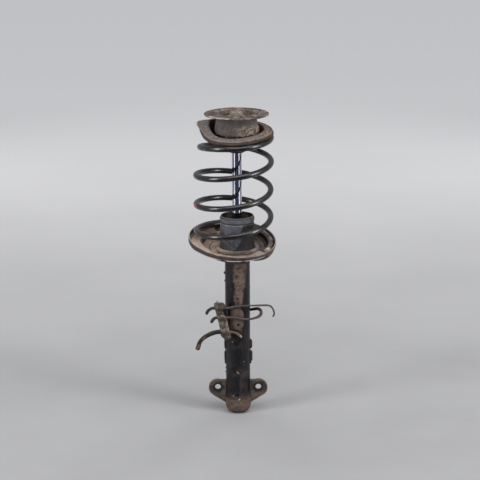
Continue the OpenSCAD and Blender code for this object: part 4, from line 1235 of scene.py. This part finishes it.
disc = lathe("mount_disc_plate", [(72.2, 702.5), (73, 703.4), (73, 704.8), (72.2, 705.7), (42.5, 705.6), (39.5, 705.9), (37.4, 704.6), (28.6, 696.0), (25, 695.5), (25, 692.6), (31, 692.6), (41, 702.5)],
             M_disc, "rod_mount", seg=220, replaces=["mount_disc"], slot="disc_steel", r=0.8, step=2.0, warp=disc_warp, angle=50)
cs = []
for a in (30, 150, 270):
    x, y = 51 * math.cos(math.radians(a)), 51 * math.sin(math.radians(a))
    cs.append(cutter(4, (x, y, 690), (x, y, 720)))
cut(disc, cs)
disc.data.materials.clear(); disc.data.materials.append(M_disc)
for i, a in enumerate((30, 150, 270)):
    x, y = 51 * math.cos(math.radians(a)), 51 * math.sin(math.radians(a))
    # rolled collar of each tapped hole
    lathe("hole_collar_%d" % i, [(4.0, 701.0), (6.0, 701.0), (6.3, 702.6), (6.1, 706.0), (5.0, 706.5), (4.0, 706.1)], M_nut, "rod_mount", seg=40, r=0.4, place=Matrix.Translation((x, y, 0)))

lathe("top_washer_dished", [(7.05, 696.5), (20.5, 696.5), (21.4, 697.3), (21.2, 698.8), (18, 700), (7.05, 700)], M_nut, "rod_mount", seg=80, replaces=["top_washer"], slot="fastener_steel", r=0.5)
# hexagon nut with turned chamfers
def hexnut(name, af, z0, z1, bore, mat, body, **kw):
    seg = 96
    V, F, rings_ = [], [], []
    def hexr(a):
        b = (math.degrees(a) % 60) - 30
        return af / 2 / math.cos(math.radians(b))
    def ringv(fr, z):
        rings_.append(len(V))
        for i in range(seg):
            a = 2 * pi * (i + 0.5) / seg
            r = fr(a)
            V.append((r * math.cos(a), r * math.sin(a), z))
    h = z1 - z0
    c = af / 2 * 0.985
    ringv(lambda a: bore, z0 + 0.5)
    ringv(lambda a: bore + 0.8, z0)
    ringv(lambda a: min(hexr(a), c) - 0.2, z0)
    for k in range(1, 6):
        zz = z0 + h * 0.16 * k / 5
        lim = c + (af * 0.5774 - c) * math.sin(pi / 2 * k / 5) + 0.1
        ringv(lambda a, lim=lim: min(hexr(a), lim) - 0.02, zz)
    for k in range(5, 0, -1):
        zz = z1 - h * 0.16 * k / 5
        lim = c + (af * 0.5774 - c) * math.sin(pi / 2 * k / 5) + 0.1
        ringv(lambda a, lim=lim: min(hexr(a), lim) - 0.02, zz)
    ringv(lambda a: min(hexr(a), c) - 0.2, z1)
    ringv(lambda a: bore + 0.8, z1)
    ringv(lambda a: bore, z1 - 0.5)
    M = len(rings_)
    for a in range(M):
        b = (a + 1) % M
        for j in range(seg):
            k = (j + 1) % seg
            F.append((rings_[a] + j, rings_[a] + k, rings_[b] + k, rings_[b] + j))
    return make(name, V, F, mat, body, angle=25, **kw)

hexnut("top_nut_hex", 24, 700, 709, 7.03, M_nut, "rod_mount", replaces=["top_nut"], slot="fastener_steel")

# ------------------------------------------------------------------ line bracket: folded strap, web, saddle
LX0 = [(186.8, -25.0), (188.5, -28.0), (194.8, -34.1), (204, -37.6), (218.7, -40.2), (233.3, -43.7), (247.9, -47.3), (262.5, -51.1), (268, -52.3), (272.4, -51.8), (274.2, -49.5)]
RX0 = [(186.8, -19.5), (188.5, -16.5), (194, -15.2), (200.3, -15.2), (215, -18.9), (229.7, -21.8), (240.6, -25.0), (251.6, -29.6), (260, -29.4), (266, -26.0), (270, -25.6), (272.4, -28.5), (274.2, -34.0)]

LX = [(z, x - 2.0 - 3.2 * sm((208 - z) / 14)) for z, x in LX0]
RX = [(z, x - 1.8 - 2.6 * math.exp(-((z - 251) / 11) ** 4)) for z, x in RX0]

def strap_section(z):
    zl = [look(z + d, LX) for d in (-2.4, 0, 2.4)]
    zr = [look(z + d, RX) for d in (-2.4, 0, 2.4)]
    xl = sum(zl) / 3; xr = sum(zr) / 3
    e = min(1.0, min(z - 186.8, 274.2 - z) / 5.0)
    e = math.sqrt(max(0.02, 1 - (1 - max(0.0, e)) ** 2))
    # swells where the lines are clamped, valley between them
    sw = 2.0 * math.exp(-((z - 262) / 5) ** 2) + 1.9 * math.exp(-((z - 238.5) / 5) ** 2) + 1.5 * math.exp(-((z - 204) / 6) ** 2) + 0.8 * math.exp(-((z - 222) / 4) ** 2)
    hd = (2.9 + sw) * e
    th = 2.3
    # curled foot leans forward, head leans back a little
    cy = -36 + 0.0 + 0.9 * sm((z - 262) / 12) - 0.9 * sm((200 - z) / 12)
    w = xr - xl
    P = []
    def add(x, y): P.append((x, cy + y, z))
    m = 10
    # front sheet from right lip to left fold
    add(xr - 0.2, -0.9 * e); add(xr, -hd + 1.6 * e); add(xr - 0.5, -hd + 0.55 * e); add(xr - 1.5, -hd + 0.05)
    for i in range(1, m):
        t = i / m
        x = lerp(xr - 1.5, xl + 3.4, t)
        y = -hd - 0.25 * math.sin(pi * t)
        y += 1.3 * nz3(x, z, 0, 0.085, 3) * e + 0.75 * nz3(x, z, 0, 0.21, 8) * e + 0.3 * nz3(x, z, 0, 0.5, 5) * e
        # pressed gutter down the middle, dying out at both ends
        y += 1.7 * math.exp(-((t - 0.42) / 0.16) ** 2) * sm((z - 196) / 10) * sm((258 - z) / 10) * (0.6 + 0.4 * math.cos((z - 227) * 0.30))
        add(x, y)
    # left fold
    for i in range(0, 9):
        a = -pi / 2 - pi * i / 8
        r = hd
        add(xl + 3.4 + 3.4 * math.cos(a) , hd * math.sin(a) + 0.25 * nz3(i, z * 0.2, 0, 0.8, 2))
    # back sheet to its lip
    for i in range(1, 6):
        add(lerp(xl + 3.4, xr - 2.6, i / 5), hd + 0.2 * nz3(i * 3, z, 4, 0.2, 2))
    add(xr - 2.4, hd - th * 0.5)
    # pocket between the sheets
    g = max(0.25, hd - th)
    add(xr - 3.0, g * 0.9)
    add(lerp(xl + 4, xr - 3, 0.6), g); add(xl + 5.2, g * 0.9); add(xl + 3.2, 0.0); add(xl + 5.2, -g * 0.9); add(lerp(xl + 4, xr - 3, 0.6), -g); add(xr - 3.0, -g * 0.9); add(xr - 1.7, -g * 0.7)
    return P

V, F = [], []
zs = [186.8 + 87.4 * (0.5 - 0.5 * math.cos(pi * i / 100)) * 1.0 for i in range(101)]
zs = [lerp(186.8, 274.2, 0.25 * (0.5 - 0.5 * math.cos(pi * i / 100)) + 0.75 * i / 100) for i in range(101)]
for z in zs:
    V += strap_section(z)
k = len(V) // len(zs)
for i in range(len(zs) - 1):
    for j in range(k):
        j2 = (j + 1) % k
        F.append((i * k + j, i * k + j2, (i + 1) * k + j2, (i + 1) * k + j))
F.append(tuple(reversed(range(k)))); F.append(tuple(range((len(zs) - 1) * k, len(zs) * k)))
make("line_strap_folded", V, F, M_strap, "housing", ["line_bracket"], "lug_paint", angle=45)

def rock(name, c, r, mat, body, sc=0.5, amp=0.35, squash=(1, 1, 1), seed=0.0, sub=4, rot=None):
    """irregular lump from a subdivided icosahedron, displaced by noise"""
    bm = bmesh.new()
    bmesh.ops.create_icosphere(bm, subdivisions=sub, radius=1.0)
    vs = []
    for v in bm.verts:
        d = 1 + amp * nz3(v.co.x * 3, v.co.y * 3, v.co.z * 3, sc, seed) + 0.3 * amp * nz3(v.co.x * 9, v.co.y * 9, v.co.z * 9, sc, seed + 3)
        p = Vector((v.co.x * squash[0], v.co.y * squash[1], v.co.z * squash[2])) * (r * d)
        if rot: p = rot @ p
        vs.append(p + Vector(c))
    ob = make(name, vs, [tuple(v.index for v in f.verts) for f in bm.faces], mat, body, merge=False, recalc=False)
    bm.free()
    return ob

# dried dirt on the head of the strap and in its foot
rock("strap_dirt_tip", (-46.3, -35.4, 274.6), 3.4, M_dirt, "housing", 0.6, 0.5, (0.8, 0.8, 1.25), 3.0)
rock("strap_dirt_head", (-38.5, -37.8, 270.5), 4.2, M_strap, "housing", 0.6, 0.35, (1.35, 0.6, 0.8), 7.0)
rock("strap_dirt_left", (-51.2, -37.2, 263.5), 2.6, M_dirt, "housing", 0.6, 0.5, (0.7, 0.8, 1.2), 9.0)
rock("strap_dirt_foot", (-20.5, -38.2, 192.5), 3.6, M_strap, "housing", 0.7, 0.4, (1.3, 0.6, 0.8), 12.0)

def blockm(name, P, sx, sy, sz, r, mat, body, n=10, amp=0.2, **kw):
    """rounded block: a superquadric-like box from a cube grid, then noise"""
    bm = bmesh.new()
    bmesh.ops.create_cube(bm, size=2.0)
    bmesh.ops.subdivide_edges(bm, edges=bm.edges[:], cuts=n, use_grid_fill=True)
    vs = []
    h = Vector((sx / 2, sy / 2, sz / 2))
    for v in bm.verts:
        q = Vector((v.co.x * h.x, v.co.y * h.y, v.co.z * h.z))
        c = Vector((max(-h.x + r, min(h.x - r, q.x)), max(-h.y + r, min(h.y - r, q.y)), max(-h.z + r, min(h.z - r, q.z))))
        d = q - c
        if d.length > 1e-6:
            q = c + d.normalized() * r
        w = amp * nz3(q.x, q.y, q.z, 0.25, sx)
        vs.append(P @ (q + (d.normalized() * w if d.length > 1e-6 else Vector((0, 0, 0)))))
    ob = make(name, vs, [tuple(v.index for v in f.verts) for f in bm.faces], mat, body, merge=False, angle=50, **kw)
    bm.free()
    return ob

blockm("line_bracket_web", Matrix.Translation((-28.6, -26.6, 238)), 13.4, 14.0, 48, 2.4, M_lug, "housing", n=14, amp=0.5)

# saddle plate wrapped on the tube
V, F = [], []
nr, nt = 56, 72
ri, ro = 28.2, 31.0
rows = []
for i in range(nr + 1):
    z = 232 - 26 * math.cos(pi * i / nr)
    d = abs(z - 232)
    Rc = 16.0
    over = max(0.0, d - (26 - Rc))
    cutx = Rc - math.sqrt(max(0.0, Rc * Rc - over * over))
    lo_ = 182 + math.degrees(min(6.0, cutx) / 29)
    hi_ = 297.5 - math.degrees(cutx / 29) + 1.2 * nz3(z, 0, 0, 0.12, 5)
    rows.append((z, lo_, hi_))
for side in (0, 1):
    for i, (z, lo_, hi_) in enumerate(rows):
        for j in range(nt + 1):
            a = math.radians(lerp(lo_, hi_, j / nt))
            ed = min(1.0, min(j, nt - j) * (hi_ - lo_) / nt * 0.5 / 0.9, (26 - abs(z - 232)) / 0.9 + 0.02)
            r = ri if side == 0 else lerp(29.6, ro, math.sqrt(max(0, 1 - (1 - ed) ** 2))) + 0.35 * nz3(a * 29, z, 0, 0.10, 6) * ed + 0.12 * nz3(a * 29, z, 0, 0.4, 2)
            V.append((r * math.cos(a), r * math.sin(a), z))
def vi(s, i, j): return s * (nr + 1) * (nt + 1) + i * (nt + 1) + j
for i in range(nr):
    for j in range(nt):
        F.append((vi(1, i, j), vi(1, i, j + 1), vi(1, i + 1, j + 1), vi(1, i + 1, j)))
        F.append((vi(0, i, j), vi(0, i + 1, j), vi(0, i + 1, j + 1), vi(0, i, j + 1)))
for i in range(nr):
    F.append((vi(0, i, 0), vi(1, i, 0), vi(1, i + 1, 0), vi(0, i + 1, 0)))
    F.append((vi(0, i, nt), vi(0, i + 1, nt), vi(1, i + 1, nt), vi(1, i, nt)))
for j in range(nt):
    F.append((vi(0, 0, j), vi(0, 0, j + 1), vi(1, 0, j + 1), vi(1, 0, j)))
    F.append((vi(0, nr, j), vi(1, nr, j), vi(1, nr, j + 1), vi(0, nr, j + 1)))
saddle = make("line_bracket_saddle", V, F, M_saddle, "housing", (), "lug_paint", angle=45)
cut(saddle, [cutter(3.0, (1.5, -45, 219), (1.5, -12, 219), 40)])
saddle.data.materials.clear(); saddle.data.materials.append(M_saddle)

# ------------------------------------------------------------------ the formed lines
route_a = [[-71,-34,247],[-68,-35,254],[-62,-36,259],[-55,-36,261],[-40,-36,261],[-26,-36,261],[-8,-34.5,263.5],[14,-33,265],[50,-33,266],[70,-33,266],[78,-32,261],[83,-32,251],[83,-31,243],[80,-30,238]]
route_b = [[-60,-34,227],[-56,-35.5,234],[-50,-36,238],[-37,-36,238.5],[-24,-36,238.5],[-8,-35,238],[19,-33,233],[33,-32,234],[45,-28,236.5],[52,-19,239],[54,-8,242],[52,0,245],[46,7,246],[37,14,243],[29,20,240],[21,26,238]]
route_c = [[-93,-30,160],[-91,-31,167],[-86,-32,180],[-76,-34,191],[-62,-35,199],[-48,-36,203.5],[-34,-36,204],[-20,-36,204],[-10,-36,203],[0,-37,199],[8,-38,192]]

def rad_a(t):
    # thick coated stub on the left, thin bare run, worn thin tip
    return 2.1 + 1.45 * sm((0.285 - t) / 0.03) * (0.75 + 0.25 * sm(t / 0.03)) + 0.12 * math.sin(t * 31) - 0.5 * sm((t - 0.95) / 0.05)
def rad_b(t):
    return 2.6 + 1.05 * sm((0.20 - t) / 0.03) * (0.75 + 0.25 * sm(t / 0.03)) + 0.95 * sm((t - 0.46) / 0.12) + 0.10 * math.sin(t * 40)
def rad_c(t):
    return 2.85 + 0.25 * sm((t - 0.84) / 0.06) - 0.55 * sm((t - 0.93) / 0.07) + 0.08 * math.sin(t * 37)

sweep("line_a_wire", cr(route_a, 10), rad_a, M_wire, "housing", n=28, replaces=["upper_guide_wire"], slot="wire_steel", bumps=0.28, seed=1)
sweep("line_b_loop", cr(route_b, 10), rad_b, M_wire, "housing", n=28, replaces=["loop_guide_wire"], slot="wire_steel", bumps=0.28, seed=4)
sweep("line_c_arm", cr(route_c, 10), rad_c, M_arm, "housing", n=28, replaces=["lower_guide_arm"], slot="wire_steel", bumps=0.24, seed=7)
hq = cr(route_c, 10)
hq = hq[1:58]
def rad_h(t):
    return 4.95 + 0.25 * math.sin(t * 9 + 1) * 0.5 - 0.45 * sm((0.03 - t) / 0.03) + 0.35 * math.exp(-((t - 0.96) / 0.03) ** 2)
sweep("line_c_hose", hq, rad_h, M_hose, "housing", n=40, replaces=["arm_rubber_sleeve"], slot="hose_rubber", hollow=2.95, bumps=0.35, seed=11)

# rounded lips of the upper bracket that stand out on the right
for nm, zc, h, dx in (("upper", 163.2, 18.5, 33.2), ("lower", 134.5, 24.0, 33.4)):
    blockm("bracket_lip_" + nm, Matrix.Translation((dx - 3.0, 1.2, zc)), 6.4, 11.0, h, 3.0, M_lug, "housing", n=14, amp=0.3)
for nm, zc, h in (("upper", 163.2, 18), ("lower", 134.5, 23)):
    blockm("bracket_lip_left_" + nm, Matrix.Translation((-29.2, 1.2, zc)), 4.6, 10.0, h, 2.2, M_lug, "housing", n=14, amp=0.3)

# dry fibres and grass caught under the hub
rng = np.random.RandomState(11)
V, F = [], []
def strand(p, d, L, r, n=5, steps=8):
    base = len(V)
    c = Vector(p); d = Vector(d).normalized()
    bend = Vector(rng.normal(0, 0.10, 3))
    for i in range(steps + 1):
        t = i / steps
        rr = r * (1 - 0.75 * t * t)
        s = d.cross(Vector((0.2, 0.1, 1))).normalized() if abs(d.z) < 0.95 else d.cross(Vector((1, 0.1, 0.1))).normalized()
        u = s.cross(d)
        for j in range(n):
            a = 2 * pi * j / n
            V.append(c + (s * math.cos(a) + u * math.sin(a)) * rr)
        c = c + d * (L / steps)
        d = (d + bend * 0.5).normalized()
    for i in range(steps):
        for j in range(n):
            k2 = (j + 1) % n
            F.append((base + i * n + j, base + i * n + k2, base + (i + 1) * n + k2, base + (i + 1) * n + j))
    F.append(tuple(reversed(range(base, base + n))))
    F.append(tuple(range(base + steps * n, base + steps * n + n)))
for i in range(74):
    a = math.radians(rng.uniform(-112, 6) if i < 60 else rng.uniform(-150, -60))
    r = 49.9 + rng.uniform(-0.6, 0.6)
    z = rng.uniform(663, 678) if i % 3 else rng.uniform(661.5, 664)
    d = Vector((math.cos(a) * rng.uniform(-0.1, 0.35) + rng.normal(0, 0.35), math.sin(a) * rng.uniform(-0.1, 0.35) + rng.normal(0, 0.25), -1.0 if i % 3 == 0 else rng.uniform(-1, 0.7)))
    strand((r * math.cos(a), r * math.sin(a), z), d, rng.uniform(3.5, 8.5), rng.uniform(0.28, 0.5))
V = [Vector((v.x * min(1, 55.0 / max(1e-6, math.hypot(v.x, v.y))), v.y * min(1, 55.0 / max(1e-6, math.hypot(v.x, v.y))), v.z)) for v in V]
make("hub_fibres", V, F, M_dirt, "rod_mount", merge=False)

# ------------------------------------------------------------------ floor, lights, camera
bm = bmesh.new()
bmesh.ops.create_grid(bm, x_segments=8, y_segments=8, size=9.0)
me = bpy.data.meshes.new("floor"); bm.to_mesh(me); bm.free()
floor = bpy.data.objects.new("floor", me)
floor.location.z = 0.0
scene.collection.objects.link(floor)
m = Mat("floor_pale")
c = m.mix(lin("#a4a4a5"), lin("#9d9d9f"), m.ramp(m.noise(2.0, 3), 0.3, 0.7))
# painted light: the floor is made paler towards the back, standing in for light falling there
c = m.mix(c, lin("#dcdcde"), m.ramp(m.xyz()[1], -0.3, 4.5))
me.materials.append(m.done(c, m.ramp(m.noise(30, 3), 0, 1, 0.85, 0.95), 0.0, m.bump(m.noise(180, 4), 0.08, 0.0006), spec=0.15))

w = bpy.data.worlds.new("room"); scene.world = w
w.use_nodes = True
bg = w.node_tree.nodes["Background"]
bg.inputs[0].default_value = (0.60, 0.615, 0.64, 1)
bg.inputs[1].default_value = 0.49

def softbox(name, loc, aim, sx, sy, power, color=(1, 1, 1)):
    l = bpy.data.lights.new(name, "AREA")
    l.shape = "RECTANGLE"; l.size = sx; l.size_y = sy; l.energy = power; l.color = color
    o = bpy.data.objects.new(name, l)
    o.location = loc
    o.rotation_euler = (Vector(aim) - Vector(loc)).to_track_quat("-Z", "Y").to_euler()
    scene.collection.objects.link(o)
    o.visible_camera = False
    return o

softbox("box_left", (-2.3, -1.3, 1.4), (0, 0, 0.40), 0.8, 2.0, 44, (1, 1, 1))
softbox("box_right", (2.3, -1.3, 1.4), (0, 0, 0.40), 0.8, 2.0, 48, (1, 0.99, 0.985))
for sx in (-1, 1):
    o = softbox("box_back_left" if sx < 0 else "box_back_right", (sx * 1.5, 2.6, 1.7), (0, 0, 0.4), 1.0, 1.4, 14)
    o.visible_glossy = False
l = bpy.data.lights.new("overhead", "SUN")
l.energy = 1.5; l.angle = math.radians(50); l.color = (1, 0.995, 0.99)
o = bpy.data.objects.new("overhead", l)
o.location = (0, 0, 3)
o.rotation_euler = (math.radians(22), math.radians(4), 0)
scene.collection.objects.link(o)

# studio gear that only shows as reflections in the chrome and the paint: two tall white strips and a dark blue card
for sx in (-1, 1):
    o = softbox("strip_left" if sx < 0 else "strip_right", (sx * 1.30, -0.92, 0.62), (0, 0, 0.58), 0.125, 1.24, 2.3)
    o.visible_diffuse = False; o.visible_camera = False
bm = bmesh.new()
bmesh.ops.create_grid(bm, x_segments=2, y_segments=2, size=1.0)
me = bpy.data.meshes.new("dark_card"); bm.to_mesh(me); bm.free()
card = bpy.data.objects.new("dark_card", me)
card.scale = (0.95, 1.16, 1)
card.location = (0, -1.40, 0.62)
card.rotation_euler = (math.radians(32), 0, math.radians(180))
scene.collection.objects.link(card)
m = Mat("card_dark_blue")
me.materials.append(m.done(m.mix(lin("#39404e"), lin("#4a5060"), m.noise(1.5, 3)), 0.9, spec=0.0))
card.visible_camera = False; card.visible_diffuse = False; card.visible_shadow = False; card.visible_transmission = False; card.visible_volume_scatter = False

cam = bpy.data.cameras.new("camera")
co = bpy.data.objects.new("camera", cam)
scene.collection.objects.link(co)
cam.sensor_width = 36; cam.sensor_fit = "HORIZONTAL"; cam.lens = 131.55
cam.clip_start = 0.05; cam.clip_end = 60
TH = math.radians(14.7)
aim = Vector((0.0063, 0, 0.412))
co.location = aim + 4.0 * Vector((0, -math.cos(TH), math.sin(TH)))
q = (aim - co.location).to_track_quat("-Z", "Y")
co.rotation_euler = (q.to_matrix() @ Matrix.Rotation(math.radians(-0.34), 3, "Z")).to_euler()
scene.camera = co

bpy.context.view_layer.update()
